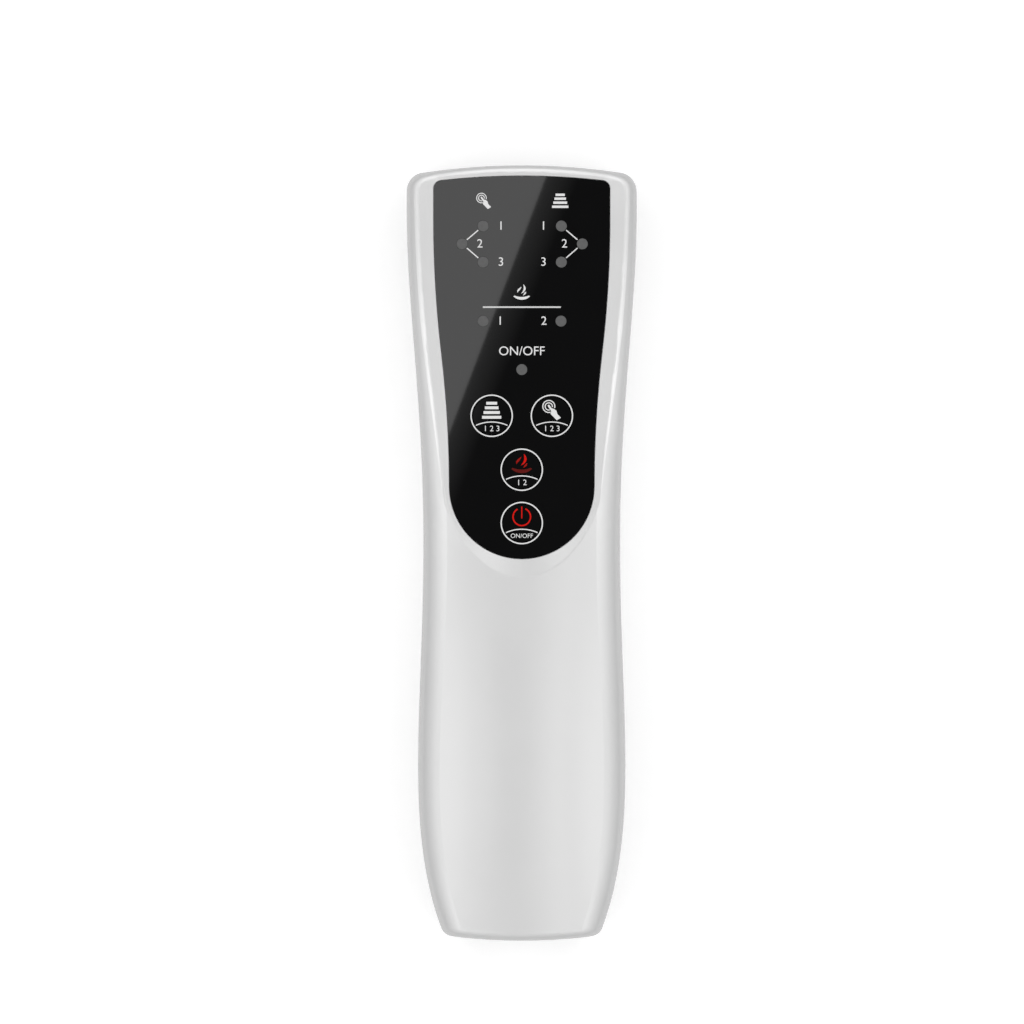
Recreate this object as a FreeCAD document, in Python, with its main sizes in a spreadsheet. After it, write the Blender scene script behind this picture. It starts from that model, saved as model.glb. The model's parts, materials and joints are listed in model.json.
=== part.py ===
import FreeCAD, Part
import Sketcher
import math
import os
from types import SimpleNamespace

Vector = FreeCAD.Vector
Rotation = FreeCAD.Rotation

# Driving dimensions in millimetres and degrees.
# The handset lies on its back: X across, Y along with the panel end at +Y, Z up out of the panel.
SIZES = {
    "length": 200.0,
    "wall": 2.2,
    "end_wall": 4.0,
    "overrun": 4.0,
    "bite": 1.0,
    "parting": 16.0,
    "lip_height": 1.5,
    "lip_thickness": 1.0,
    "lip_gap": 0.15,
    "head_end_radius": 175.0,
    "foot_end_radius": 150.0,
    "head_front_round": 4.6,
    "head_back_round": 6.6,
    "foot_round": 3.2,
    "rim_round": 1.6,
    "ledge_spread": 4.5,
    "panel_top": 30.2,
    "panel_thickness": 1.6,
    "panel_gap": 0.15,
    "panel_half_top": 22.7,
    "panel_half_low": 18.65,
    "panel_margin": 2.8,
    "panel_straight": 14.0,
    "panel_turn": 82.8,
    "panel_corner": 2.1,
    "panel_top_radius": 185.0,
    "border_rise": 5.0,
    "border_spread": 20.0,
    "tape_thickness": 0.2,
    "tape_inset": 0.6,
    "ledge_thickness": 1.8,
    "button_radius": 4.98,
    "button_gap": 0.12,
    "button_edge": 0.25,
    "button_flange": 6.0,
    "flange_thickness": 0.9,
    "flange_gap": 0.1,
    "button_well": 6.35,
    "button_stem": 2.2,
    "button_travel": 0.5,
    "guide_radius": 1.4,
    "guide_gap": 0.05,
    "guide_flange": 2.2,
    "guide_flange_thickness": 0.6,
    "switch_side": 6.0,
    "switch_height": 3.5,
    "plunger_radius": 1.75,
    "plunger_gap": 0.05,
    "plunger_rise": 1.5,
    "plunger_depth": 1.2,
    "led_side": 2.8,
    "led_height": 1.9,
    "board_top": 20.0,
    "board_thickness": 1.6,
    "board_half_top": 19.3,
    "board_half_low": 15.6,
    "board_margin": 8.0,
    "board_length": 86.0,
    "board_chamfer": 3.0,
    "board_screw_radius": 1.1,
    "board_screw_head": 2.0,
    "board_screw_head_height": 1.4,
    "board_screw_length": 6.0,
    "standoff_radius": 2.5,
    "screw_radius": 1.3,
    "screw_head_radius": 2.6,
    "screw_head_height": 1.8,
    "screw_seat": 7.0,
    "screw_length": 16.5,
    "screw_gap": 0.05,
    "boss_front_radius": 3.0,
    "boss_rear_radius": 4.0,
    "counterbore_radius": 2.9,
    "pump_z": 15.9,
    "motor_radius": 12.2,
    "motor_wall": 0.9,
    "motor_length": 30.0,
    "magnet_thickness": 1.6,
    "magnet_length": 20.0,
    "armature_radius": 9.2,
    "armature_length": 15.0,
    "commutator_radius": 2.6,
    "commutator_length": 4.0,
    "commutator_gap": 0.7,
    "shaft_radius": 1.0,
    "shaft_gap": 0.03,
    "bush_radius": 2.5,
    "bush_length": 3.6,
    "press_gap": 0.01,
    "motor_boss": 1.5,
    "motor_screw_x": 7.8,
    "end_cap_hub": 2.0,
    "terminal_x": 6.6,
    "terminal_width": 2.4,
    "terminal_thickness": 0.5,
    "terminal_length": 3.2,
    "brush_gap": 0.1,
    "magnet_split": 4.0,
    "winding_circle": 5.6,
    "winding_radius": 3.0,
    "winding_overhang": 1.5,
    "slot_mouth": 0.9,
    "shaft_grip": 2.3,
    "end_cap_thickness": 2.2,
    "cushion_thickness": 1.25,
    "cushion_length": 8.0,
    "cushion_inset": 5.0,
    "seat_gap": 0.05,
    "rib_thickness": 3.0,
    "rib_half": 11.0,
    "pump_half": 11.6,
    "pump_corner": 2.5,
    "pump_screw_spacing": 9.5,
    "pump_screw_radius": 0.95,
    "base_length": 14.0,
    "base_floor": 2.0,
    "base_bore": 9.6,
    "crank_radius": 5.8,
    "crank_length": 5.3,
    "crank_gap": 0.4,
    "pin_radius": 0.9,
    "pin_tilt": 8.0,
    "pin_gap": 0.05,
    "pin_clear": 0.3,
    "wobble_centre": 2.5,
    "wobble_radius": 8.6,
    "wobble_thickness": 1.6,
    "wobble_hub": 2.2,
    "wobble_hub_length": 4.1,
    "wobble_hub_rise": 1.0,
    "wobble_disc_rise": 0.2,
    "cup_circle": 5.8,
    "cup_radius": 3.3,
    "cup_wall": 0.6,
    "cup_depth": 1.4,
    "stem_radius": 0.9,
    "stem_hole": 1.25,
    "bulb_drop": 2.3,
    "bulb_radius": 1.4,
    "bulb_length": 1.0,
    "inlet_circle": 7.2,
    "inlet_hole": 0.7,
    "inlet_flap": 1.1,
    "outlet_circle": 4.0,
    "outlet_hole": 0.9,
    "nib_radius": 0.9,
    "small_head_radius": 1.7,
    "small_head_height": 1.2,
    "base_thread": 5.0,
    "diaphragm_thickness": 1.0,
    "valve_plate_thickness": 4.0,
    "head_thickness": 6.0,
    "chamber_radius": 5.2,
    "chamber_depth": 3.2,
    "flap_thickness": 0.5,
    "nipple_radius": 1.15,
    "nipple_bore": 0.7,
    "nipple_length": 5.5,
    "feed_gap": 8.0,
    "pump_tube_gap": 2.0,
    "tube_radius": 2.0,
    "tube_gap": 0.05,
    "tube_end_gap": 0.2,
    "manifold_length": 8.0,
    "manifold_half": 11.9,
    "manifold_bottom": 6.0,
    "manifold_top": 18.0,
    "feed_x": 8.2,
    "valve_x": 11.2,
    "valve_z": 9.2,
    "valve_margin": 50.0,
    "yoke_length": 19.0,
    "yoke_half_width": 6.0,
    "yoke_half_height": 5.5,
    "yoke_strap": 1.2,
    "nose_length": 8.0,
    "coil_radius": 4.2,
    "bobbin_wall": 0.6,
    "nose_floor": 2.6,
    "seat_rise": 0.5,
    "core_length": 6.0,
    "valve_plunger_radius": 2.0,
    "valve_plunger_gap": 0.05,
    "valve_travel": 0.8,
    "spring_radius": 1.2,
    "spring_wire": 0.18,
    "spring_turns": 4.0,
    "spring_gap": 0.2,
    "spring_nest": 3.0,
    "outlet_x": 14.2,
    "outlet_z": 6.0,
    "port_x": 11.5,
    "port_z": 9.5,
    "port_radius": 3.0,
    "port_depth": 9.0,
    "port_collar": 4.4,
    "port_recess": 0.8,
    "port_gap": 0.1,
    "block_length": 10.0,
    "block_half": 15.8,
    "block_half_height": 5.0,
    "block_corner": 2.0,
    "contact_x": 5.0,
    "contact_radius": 1.3,
    "contact_bore": 0.75,
    "contact_tail": 3.0,
    "jack_z": 22.4,
    "jack_half": 4.8,
    "jack_length": 12.0,
    "jack_collar": 4.0,
    "jack_bore": 2.8,
    "jack_depth": 9.5,
    "jack_pin": 1.05,
    "jack_pin_root": 1.25,
    "jack_pin_step": 0.3,
    "jack_tail": 1.5,
    "pin_sunk": 1.6,
    "slot_width": 1.6,
    "slot_length": 14.0,
    "slot_pitch": 4.0,
    "slot_count": 5.0,
    "wire_radius": 0.65,
    "wire_x": 15.2,
    "wire_upper": 6.6,
    "wire_lower": 4.2,
    "wire_heater": -2.4,
    "wire_stub": 3.0,
    "wire_margin": 2.0,
    "plug_stub": 6.0,
    "jack_tab_x": 3.6,
    "jack_tab_drop": 3.0,
    "coil_lead_gap": 0.9,
    "coil_lead_inset": 3.0,
    "coil_lead_pitch": 2.0,
    "chip_side": 9.0,
    "chip_height": 1.8,
    "driver_x": 11.0,
    "driver_side": 6.4,
    "capacitor_x": 7.5,
    "capacitor_radius": 3.2,
    "capacitor_height": 8.0,
    "plug_x": 7.4,
    "plug_width": 6.0,
    "plug_depth": 5.0,
    "plug_height": 5.0,
    "plug_margin": 0.5,
    "plug_pitch": 2.0,
}

# Cross-sections of the housing: half width, back height, front height, then the radii of the crowned
# front, of the shoulder beside it and of the heel beside the back.
STATION_FIELDS = ("half", "back", "front", "crown", "shoulder", "heel")
STATIONS = {
    "foot_end": (17.6, 2.6, 29.19, 158.0, 5.6, 7.5),
    "foot": (19.5, 1.8, 30.03, 156.0, 5.8, 8.0),
    "ankle": (25.1, -0.4, 32.9, 121.0, 6.5, 9.0),
    "belly": (26.75, -0.4, 34.01, 106.0, 7.0, 9.5),
    "grip": (26.0, -0.4, 32.53, 135.0, 7.0, 9.5),
    "waist": (25.4, -0.4, 31.25, 209.0, 6.8, 9.0),
    "board": (25.85, 0.1, 31.53, 320.0, 6.3, 8.6),
    "chest": (27.55, 1.0, 32.48, 331.0, 5.7, 8.0),
    "head": (29.6, 3.6, 32.71, 319.0, 5.05, 7.0),
    "head_end": (29.5, 6.0, 32.59, 321.0, 4.9, 7.0),
}
# Distance of each middle section from the foot end or from the head end.
FROM_FOOT = {"ankle": 20.0, "belly": 48.0, "grip": 74.0}
FROM_HEAD = {"waist": 102.0, "board": 76.0, "chest": 50.0, "head": 18.0}

# Places on the panel: distance from the centre line and from the head end.
BUTTONS = {"pressure": (-7.76, 64.6), "mode": (7.76, 64.6), "heat": (0.0, 78.5), "power": (0.0, 92.24)}
GUIDES = {
    "mode_a": (-9.96, 15.7), "mode_b": (-15.4, 20.3), "mode_c": (-9.96, 25.0),
    "pressure_a": (10.2, 15.7), "pressure_b": (15.6, 20.3), "pressure_c": (10.2, 25.0),
    "heat_low": (-9.96, 40.2), "heat_high": (10.1, 40.2), "running": (0.0, 52.7),
}
# Housing screws and board screws: distance from the centre line and from the head end.
HOUSING_SCREWS = {"upper_screw": (24.0, 24.0), "lower_screw": (21.2, 148.0)}
BOARD_SCREWS = {"board_upper": (16.5, 11.0), "board_lower": (13.3, 88.0)}

# Bends that take each lead past its neighbours: across, along from the turn behind the motor's tabs
# and up from the pump's axis.
LEAD_BENDS = {
    "motor_plus": [(13.0, 0.6, 2.5)],
    "motor_minus": [(3.0, -1.8, 2.7), (12.4, -0.3, 5.5)],
    "jack_plus": [(-9.0, -0.4, 6.7), (-13.6, 3.0, 6.6)],
    "jack_minus": [(-11.4, 0.0, 3.9)],
    "left_heater": [(-10.5, 1.2, -3.3)],
    "right_heater": [(10.5, 1.2, -3.3)],
}

# Poles of the motor's rotor and cups of the pump.
POLES = 3
CUPS = 3

# Shares and tolerances: of the shorter run that a bend takes up, of a sweep's volume, the distance that
# counts as touching, the shortest ridge edge that is rounded, and the share of the overrun near an end.
BEND_SHARE = 0.45
SWEEP_TOLERANCE = 0.02
TOUCH = 0.01
SHORT_EDGE = 0.5
NEAR_END = 0.7


class Size:
    """A number kept with the sheet formula that gives it."""

    def __init__(self, value, text=None):
        self.value = float(value)
        self.text = text if text else repr(float(value))

    def joined(self, sign, other, value):
        return Size(value, f"({self.text} {sign} {other.text})")

    def __add__(self, other):
        other = size(other)
        return self.joined("+", other, self.value + other.value)

    def __sub__(self, other):
        other = size(other)
        return self.joined("-", other, self.value - other.value)

    def __mul__(self, other):
        other = size(other)
        return self.joined("*", other, self.value * other.value)

    def __truediv__(self, other):
        other = size(other)
        return self.joined("/", other, self.value / other.value)

    def __radd__(self, other):
        return size(other) + self

    def __rsub__(self, other):
        return size(other) - self

    def __rmul__(self, other):
        return size(other) * self

    def __neg__(self):
        return Size(-self.value, f"(-1 * {self.text})")

    def __float__(self):
        return self.value


def size(value):
    return value if isinstance(value, Size) else Size(value)


def root(value):
    return Size(math.sqrt(value.value), f"sqrt({value.text})")


def cosine(value):
    return Size(math.cos(math.radians(value.value)), f"cos({value.text})")


# The sheet: one row for each driving dimension.
doc = FreeCAD.newDocument("handset")
sheet = doc.addObject("Spreadsheet::Sheet", "Sizes")


def fill_sheet():
    cells = dict(SIZES)
    for station, values in STATIONS.items():
        for field, value in zip(STATION_FIELDS, values):
            cells[f"{station}_{field}"] = value
    for station, value in list(FROM_FOOT.items()) + list(FROM_HEAD.items()):
        cells[f"{station}_offset"] = value
    for name, place in list(BUTTONS.items()) + list(GUIDES.items()):
        cells[f"{name}_across"], cells[f"{name}_down"] = place
    for name, place in list(HOUSING_SCREWS.items()) + list(BOARD_SCREWS.items()):
        cells[f"{name}_across"], cells[f"{name}_down"] = place
    for row, (name, value) in enumerate(cells.items(), start=1):
        sheet.set(f"A{row}", name)
        sheet.set(f"B{row}", str(value))
        sheet.setAlias(f"B{row}", name)
    return SimpleNamespace(**{name: Size(value, f"Sizes.{name}") for name, value in cells.items()})


d = fill_sheet()
doc.recompute()
pieces = []


def cell(name):
    return getattr(d, name)


# Levels and places that several pieces share.
HEAD = d.length / 2
FOOT = -d.length / 2
PANEL_UNDER = d.panel_top - d.panel_thickness
LEDGE_TOP = PANEL_UNDER - d.tape_thickness
LEDGE_UNDER = LEDGE_TOP - d.ledge_thickness
FLANGE_TOP = PANEL_UNDER - d.flange_gap
PLUNGER_TOP = d.board_top + d.switch_height + d.plunger_rise
BOARD_UNDER = d.board_top - d.board_thickness
INNER_FOOT = FOOT + d.end_wall
YOKE_TAIL = HEAD - d.valve_margin
NOSE_BACK = YOKE_TAIL - d.yoke_length
NOSE_FACE = NOSE_BACK - d.nose_length
MANIFOLD_BACK = NOSE_FACE - 2 * d.nipple_length - d.feed_gap
MANIFOLD_FACE = MANIFOLD_BACK - d.manifold_length
HEAD_FACE = MANIFOLD_FACE - 2 * d.nipple_length - d.pump_tube_gap
PLATE_FACE = HEAD_FACE - d.head_thickness
DIAPHRAGM_FACE = PLATE_FACE - d.valve_plate_thickness
BASE_FACE = DIAPHRAGM_FACE - d.diaphragm_thickness
MOTOR_FACE = BASE_FACE - d.base_length
MOTOR_TAIL = MOTOR_FACE - d.motor_length
SADDLE_RADIUS = d.motor_radius + d.seat_gap + d.cushion_thickness + d.seat_gap
CUSHION_PLACES = (MOTOR_TAIL + d.cushion_inset, MOTOR_FACE - d.cushion_inset - d.cushion_length)
TUBE_BORE = d.nipple_radius + d.tube_gap
NIPPLE_REACH = d.nipple_length + d.bite
FLAP_EDGE = d.chamber_radius - d.tube_end_gap

CRANK_BACK = MOTOR_FACE + d.base_floor + d.crank_gap
CRANK_FRONT = CRANK_BACK + d.crank_length
WOBBLE_CENTRE = BASE_FACE - d.wobble_centre
BLOCK_BACK = INNER_FOOT + d.block_length
JACK_BACK = INNER_FOOT + d.jack_length
JACK_TAIL = JACK_BACK + d.jack_tail
CONTACT_TAIL = BLOCK_BACK + d.contact_tail
MAGNET_LOW = MOTOR_FACE - d.motor_wall - d.rib_thickness - d.magnet_length
ARMATURE_LOW = MAGNET_LOW + (d.magnet_length - d.armature_length) / 2
ARMATURE_HIGH = ARMATURE_LOW + d.armature_length
COMMUTATOR_HIGH = MOTOR_TAIL + d.end_cap_thickness + d.commutator_gap + d.commutator_length

# Turn that brings the axis of a piece from upright to the named direction.
TURNS = {
    "z": (Vector(0, 0, 1), size(0.0)),
    "y": (Vector(1, 0, 0), size(-90.0)),
    "pin": (Vector(1, 0, 0), 90.0 - d.pin_tilt),
}


# Small helpers that make one bound object each.
def bind(obj, path, value):
    obj.setExpression(path, size(value).text)


def put(obj, x, y, z, axis="z"):
    direction, angle = TURNS[axis]
    obj.Placement = FreeCAD.Placement(Vector(0, 0, 0), Rotation(direction, float(angle)))
    for name, value in (("x", x), ("y", y), ("z", z)):
        bind(obj, f"Placement.Base.{name}", value)
    return obj


def piece(obj, label):
    obj.Label = label
    pieces.append(obj)
    return obj


def cylinder(name, radius, length, x, y, z, axis="z"):
    obj = doc.addObject("Part::Cylinder", name)
    bind(obj, "Radius", radius)
    bind(obj, "Height", length)
    return put(obj, x, y, z, axis)


def slab(name, x, y, z):
    """A box between the two ends given for each axis."""
    obj = doc.addObject("Part::Box", name)
    for prop, (low, high) in zip(("Length", "Width", "Height"), (x, y, z)):
        bind(obj, prop, size(high) - low)
    return put(obj, x[0], y[0], z[0])


def fuse(name, shapes):
    obj = doc.addObject("Part::MultiFuse", name)
    obj.Shapes = shapes
    return obj


def cut(name, base, tools):
    obj = doc.addObject("Part::Cut", name)
    obj.Base = base
    obj.Tool = tools[0] if len(tools) == 1 else fuse(f"{name}_tools", tools)
    return obj


def common(name, base, tool):
    obj = doc.addObject("Part::Common", name)
    obj.Base = base
    obj.Tool = tool
    return obj


def group(name, shapes):
    obj = doc.addObject("Part::Compound", name)
    obj.Links = shapes
    return obj


def sketch_on(body, name, role, offset):
    sketch = body.newObject("Sketcher::SketchObject", name)
    plane = next(item for item in body.Origin.OriginFeatures if item.Role == role)
    sketch.AttachmentSupport = [(plane, "")]
    sketch.MapMode = "FlatFace"
    bind(sketch, "AttachmentOffset.Base.z", offset)
    return sketch


def dimension(sketch, name, constraint, value):
    index = sketch.addConstraint(constraint)
    sketch.renameConstraint(index, name)
    bind(sketch, f"Constraints.{name}", value)


def edge_between(start, end, bend):
    """A line, or the shorter arc of a radius that turns left (+1) or right (-1)."""
    if bend is None:
        return Part.LineSegment(start, end), (1, 2)
    radius, side = float(bend[0]), bend[1]
    chord = end - start
    rise = math.sqrt(max(radius ** 2 - (chord.Length / 2) ** 2, 0.0))
    left = Vector(-chord.y, chord.x, 0).normalize()
    centre = (start + end) / 2 + left * rise * side
    first, last = (start, end) if side > 0 else (end, start)
    angles = [math.atan2(p.y - centre.y, p.x - centre.x) for p in (first, last)]
    if angles[1] < angles[0]:
        angles[1] += 2 * math.pi
    arc = Part.ArcOfCircle(Part.Circle(centre, Vector(0, 0, 1), radius), *angles)
    return arc, ((1, 2) if side > 0 else (2, 1))


def outline(sketch, points):
    """A closed outline: each point has x, y and the bend of the edge that leaves it."""
    corners = [Vector(float(p[0]), float(p[1]), 0) for p in points]
    count = len(points)
    first = sketch.GeometryCount
    ends = []
    for i, point in enumerate(points):
        geometry, order = edge_between(corners[i], corners[(i + 1) % count], point[2])
        sketch.addGeometry(geometry, False)
        ends.append(order)
    for i, point in enumerate(points):
        here, after = first + i, first + (i + 1) % count
        join = Sketcher.Constraint("Coincident", here, ends[i][1], after, ends[(i + 1) % count][0])
        sketch.addConstraint(join)
        for axis, value in (("X", point[0]), ("Y", point[1])):
            fixed = Sketcher.Constraint(f"Distance{axis}", -1, 1, here, ends[i][0], float(value))
            dimension(sketch, f"{axis}{here}", fixed, value)
        if point[2]:
            bend = Sketcher.Constraint("Radius", here, float(point[2][0]))
            dimension(sketch, f"Bend{here}", bend, point[2][0])


def circles(sketch, places):
    for x, y, radius in places:
        here = sketch.GeometryCount
        ring = Part.Circle(Vector(float(x), float(y), 0), Vector(0, 0, 1), float(radius))
        sketch.addGeometry(ring, False)
        for axis, value in (("X", x), ("Y", y)):
            fixed = Sketcher.Constraint(f"Distance{axis}", -1, 1, here, 3, float(value))
            dimension(sketch, f"{axis}{here}", fixed, value)
        dimension(sketch, f"Bend{here}", Sketcher.Constraint("Radius", here, float(radius)), radius)


def corners(*points):
    return [(x, y, None) for x, y in points]


def padded(name, points, low, high, role="XY_Plane", holes=()):
    """A prism on a level plane, or along Y for a sketch on the XZ plane, with round holes through it."""
    body = doc.addObject("PartDesign::Body", name)
    along = role == "XZ_Plane"
    sketch = sketch_on(body, f"{name}_outline", role, -size(high) if along else low)
    outline(sketch, points)
    pad = body.newObject("PartDesign::Pad", f"{name}_pad")
    pad.Profile = sketch
    bind(pad, "Length", size(high) - low)
    if holes:
        drill = sketch_on(body, f"{name}_hole_places", role, -size(low) if along else high)
        circles(drill, holes)
        pocket = body.newObject("PartDesign::Pocket", f"{name}_holes")
        pocket.Profile = drill
        pocket.Type = 1
        body.Tip = pocket
    return body


def turned(name, points, x=0.0, z=0.0, axis="y", y=0.0, holes=()):
    """A solid of revolution from corners given as radius and place along the axis, with holes along it."""
    body = doc.addObject("PartDesign::Body", name)
    sketch = sketch_on(body, f"{name}_profile", "XZ_Plane", 0.0)
    outline(sketch, corners(*points))
    spin = body.newObject("PartDesign::Revolution", f"{name}_turn")
    spin.Profile = sketch
    spin.ReferenceAxis = (sketch, ["V_Axis"])
    spin.Angle = 360
    if holes:
        drill = sketch_on(body, f"{name}_hole_places", "XY_Plane", points[-1][1])
        circles(drill, holes)
        pocket = body.newObject("PartDesign::Pocket", f"{name}_holes")
        pocket.Profile = drill
        pocket.Type = 1
        body.Tip = pocket
    return put(body, x, y, z, axis)


def ring(name, inner, outer, low, high, x=0.0, z=0.0, axis="y", y=0.0):
    return turned(name, ((inner, low), (outer, low), (outer, high), (inner, high)), x, z, axis, y)


def lofted(name, sections, ruled):
    """A loft through (offset, points) sections on the XZ or XY planes of one body."""
    body = doc.addObject("PartDesign::Body", name)
    sketches = []
    for index, (role, offset, points) in enumerate(sections):
        sketch = sketch_on(body, f"{name}_section_{index}", role, offset)
        outline(sketch, points)
        sketches.append(sketch)
    loft = body.newObject("PartDesign::AdditiveLoft", f"{name}_loft")
    loft.Profile = sketches[0]
    loft.Sections = [(sketch, "") for sketch in sketches[1:]]
    loft.Ruled = ruled
    return body


def rounded(name, half_x, half_z, corner, low, high, x=0.0, z=0.0, holes=()):
    """A block along Y with a rounded rectangular section."""
    flat_x, flat_z = half_x - corner, half_z - corner
    points = []
    for side_x, side_z in ((-1, -1), (1, -1), (1, 1), (-1, 1)):
        along_x = (x + side_x * flat_x, z + side_z * half_z)
        along_z = (x + side_x * half_x, z + side_z * flat_z)
        first, second = (along_z, along_x) if side_x * side_z > 0 else (along_x, along_z)
        points.append((*first, (corner, 1)))
        points.append((*second, None))
    return padded(name, points, low, high, "XZ_Plane", holes)


def station_place(station):
    if station in FROM_FOOT:
        return FOOT + cell(f"{station}_offset")
    if station in FROM_HEAD:
        return HEAD - cell(f"{station}_offset")
    return {"foot": FOOT, "foot_end": FOOT - d.overrun, "head_end": HEAD + d.overrun}[station]


def section_points(station, inset):
    """Flat back, heels, upright sides, shoulders and a crowned front, drawn inwards by an inset."""
    half, back, front, crown, shoulder, heel = (cell(f"{station}_{field}") for field in STATION_FIELDS)
    half, back, shoulder, heel = half - inset, back + inset, shoulder - inset, heel - inset
    front, crown = front - inset, crown - inset
    centre = front - crown
    reach = root((crown - shoulder) * (crown - shoulder) - (half - shoulder) * (half - shoulder))
    stretch = crown / (crown - shoulder)
    touch_x, touch_z = (half - shoulder) * stretch, centre + reach * stretch
    return [
        (-(half - heel), back, None), (half - heel, back, (heel, 1)),
        (half, back + heel, None), (half, centre + reach, (shoulder, 1)),
        (touch_x, touch_z, (crown, 1)), (-touch_x, touch_z, (shoulder, 1)),
        (-half, centre + reach, None), (-half, back + heel, (heel, 1)),
    ]


def housing_loft(name, inset):
    sections = []
    for station in STATIONS:
        sections.append(("XZ_Plane", -station_place(station), section_points(station, inset)))
    return lofted(name, sections, False)


def panel_outline(grow):
    """Panel edge, grown outwards: straight top sides, S-curved flanks and a half-round lower end."""
    half_top, half_low, corner = d.panel_half_top, d.panel_half_low, d.panel_corner
    top, straight, low = HEAD - d.panel_margin, HEAD - d.panel_straight, HEAD - d.panel_turn
    shift, drop = (half_top - half_low) / 2, (straight - low) / 2
    flank = (drop * drop + shift * shift) / (2 * shift)
    grown = flank + grow
    middle = (half_top - flank + grown * (1 - shift / flank), straight - grown * drop / flank)
    arch, inner = d.panel_top_radius, d.panel_top_radius - corner
    reach = root(inner * inner - (half_top - corner) * (half_top - corner))
    stretch = (arch + grow) / inner
    on_top = ((half_top - corner) * stretch, top - arch + reach * stretch)
    right = [
        (half_low + grow, low, (flank - grow, -1)), (*middle, (flank + grow, 1)),
        (half_top + grow, straight, None), (half_top + grow, top - arch + reach, (corner + grow, 1)),
        (*on_top, (arch + grow, 1)),
    ]
    bends = [(corner + grow, 1), None, (flank + grow, 1), (flank - grow, -1), (half_low + grow, 1)]
    left = [(-point[0], point[1], bend) for point, bend in zip(reversed(right), bends)]
    return [(0.0, low - half_low - grow, (half_low + grow, 1))] + right + left


def places(table):
    """Sheet places of a table: across the centre line and down from the head end."""
    return {name: (cell(f"{name}_across"), HEAD - cell(f"{name}_down")) for name in table}


def pairs(table):
    """Places of a table on both sides of the centre line."""
    found = []
    for x, y in places(table).values():
        found += [(-x, y), (x, y)]
    return found


BUTTON_PLACES = places(BUTTONS)
GUIDE_PLACES = places(GUIDES)
SCREW_PLACES = pairs(HOUSING_SCREWS)
BOARD_SCREW_PLACES = pairs(BOARD_SCREWS)
FAR = 3 * d.length


def rounded_edges(name, base, chosen):
    """Round the edges that a test picks, with the radius that it gives."""
    doc.recompute()
    obj = doc.addObject("Part::Fillet", name)
    obj.Base = base
    edges = []
    for index, edge in enumerate(base.Shape.Edges, start=1):
        radius = chosen(edge)
        if radius:
            edges.append((index, float(radius), float(radius)))
    obj.Edges = edges
    return obj


def end_round(edge):
    """The loop round each end face: tight at the panel, soft elsewhere."""
    centre = edge.CenterOfMass
    near_end = NEAR_END * float(d.overrun)
    if edge.Length < float(d.end_wall):
        return None
    if centre.y > float(HEAD) - float(d.end_wall) and abs(edge_depth(edge, 1)) < near_end:
        high = max(vertex.Point.z for vertex in edge.Vertexes)
        return d.head_front_round if high > float(LEDGE_TOP) else d.head_back_round
    if centre.y < float(FOOT) + float(d.end_wall) and abs(edge_depth(edge, -1)) < near_end:
        return d.foot_round
    return None


def edge_depth(edge, end):
    """How far the middle of an edge lies from the arched end face, seen from above."""
    radius = float(d.head_end_radius if end > 0 else d.foot_end_radius)
    tip = float(HEAD if end > 0 else FOOT)
    middle = edge.valueAt((edge.FirstParameter + edge.LastParameter) / 2)
    return math.hypot(middle.x, middle.y - (tip - end * radius)) - radius


def rim_edge(edge):
    """The ridge where the sloped border of the panel meets the crowned front."""
    middle = edge.valueAt((edge.FirstParameter + edge.LastParameter) / 2)
    raised = edge.BoundBox.ZMin > float(d.panel_top) + TOUCH
    on_border = border.Shape.distToShape(Part.Vertex(middle))[0] < TOUCH
    return d.rim_round if raised and on_border and edge.Length > SHORT_EDGE else None


# Outer form: lofted body, arched ends, rounded end loops, flat back, sloped border round the panel.
form = doc.addObject("Part::MultiCommon", "form_trimmed")
form.Shapes = [
    housing_loft("form_loft", 0.0),
    cylinder("head_arch", d.head_end_radius, FAR, 0, HEAD - d.head_end_radius, -d.length),
    cylinder("foot_arch", d.foot_end_radius, FAR, 0, FOOT + d.foot_end_radius, -d.length),
]
form = rounded_edges("form_ends", form, end_round)
form = common("form_flat", form, slab("above_back", (-FAR, FAR), (-FAR, FAR), (0, FAR)))
border = lofted("border", (
    ("XY_Plane", d.panel_top, panel_outline(d.panel_gap)),
    ("XY_Plane", d.panel_top + d.border_rise, panel_outline(d.panel_gap + d.border_spread)),
), True)
form = rounded_edges("form_rim", cut("form_bordered", form, [border]), rim_edge)


def inner_outline(inset, end):
    """Plan of the inside: straight foot, arched head and head corners a little softer than the outer ones."""
    half, corner = d.head_half - inset + d.bite, d.head_back_round - inset + 3 * d.bite
    centre, arch = HEAD - d.head_end_radius, d.head_end_radius - end
    inner = arch - corner
    reach = root(inner * inner - (half - corner) * (half - corner))
    stretch = arch / inner
    top_x, top_y = (half - corner) * stretch, centre + reach * stretch
    return [
        (-half, FOOT + end, None), (half, FOOT + end, None), (half, centre + reach, (corner, 1)),
        (top_x, top_y, (arch, 1)), (-top_x, top_y, (corner, 1)), (-half, centre + reach, None),
    ]


def inner_form(name, inset, end):
    span = padded(f"{name}_span", inner_outline(inset, end), -FAR, FAR)
    return common(name, housing_loft(f"{name}_loft", inset), span)


LIP_INSET = d.wall - d.lip_thickness
LIP_END = d.end_wall - d.lip_thickness
ledge = padded("ledge", panel_outline(d.ledge_spread), LEDGE_UNDER, LEDGE_UNDER + d.length)
cavity = cut("cavity", inner_form("inside", d.wall, d.end_wall), [ledge])
lip_form = inner_form("lip_form", LIP_INSET, LIP_END)
groove_form = inner_form("groove_form", LIP_INSET - d.lip_gap, LIP_END - d.lip_gap)
LIP_TOP = d.parting + d.lip_height
lip_level = slab("lip_level", (-FAR, FAR), (-FAR, FAR), (d.parting, LIP_TOP))
groove_level = slab("groove_level", (-FAR, FAR), (-FAR, FAR), (d.parting, LIP_TOP + d.lip_gap))


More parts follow.
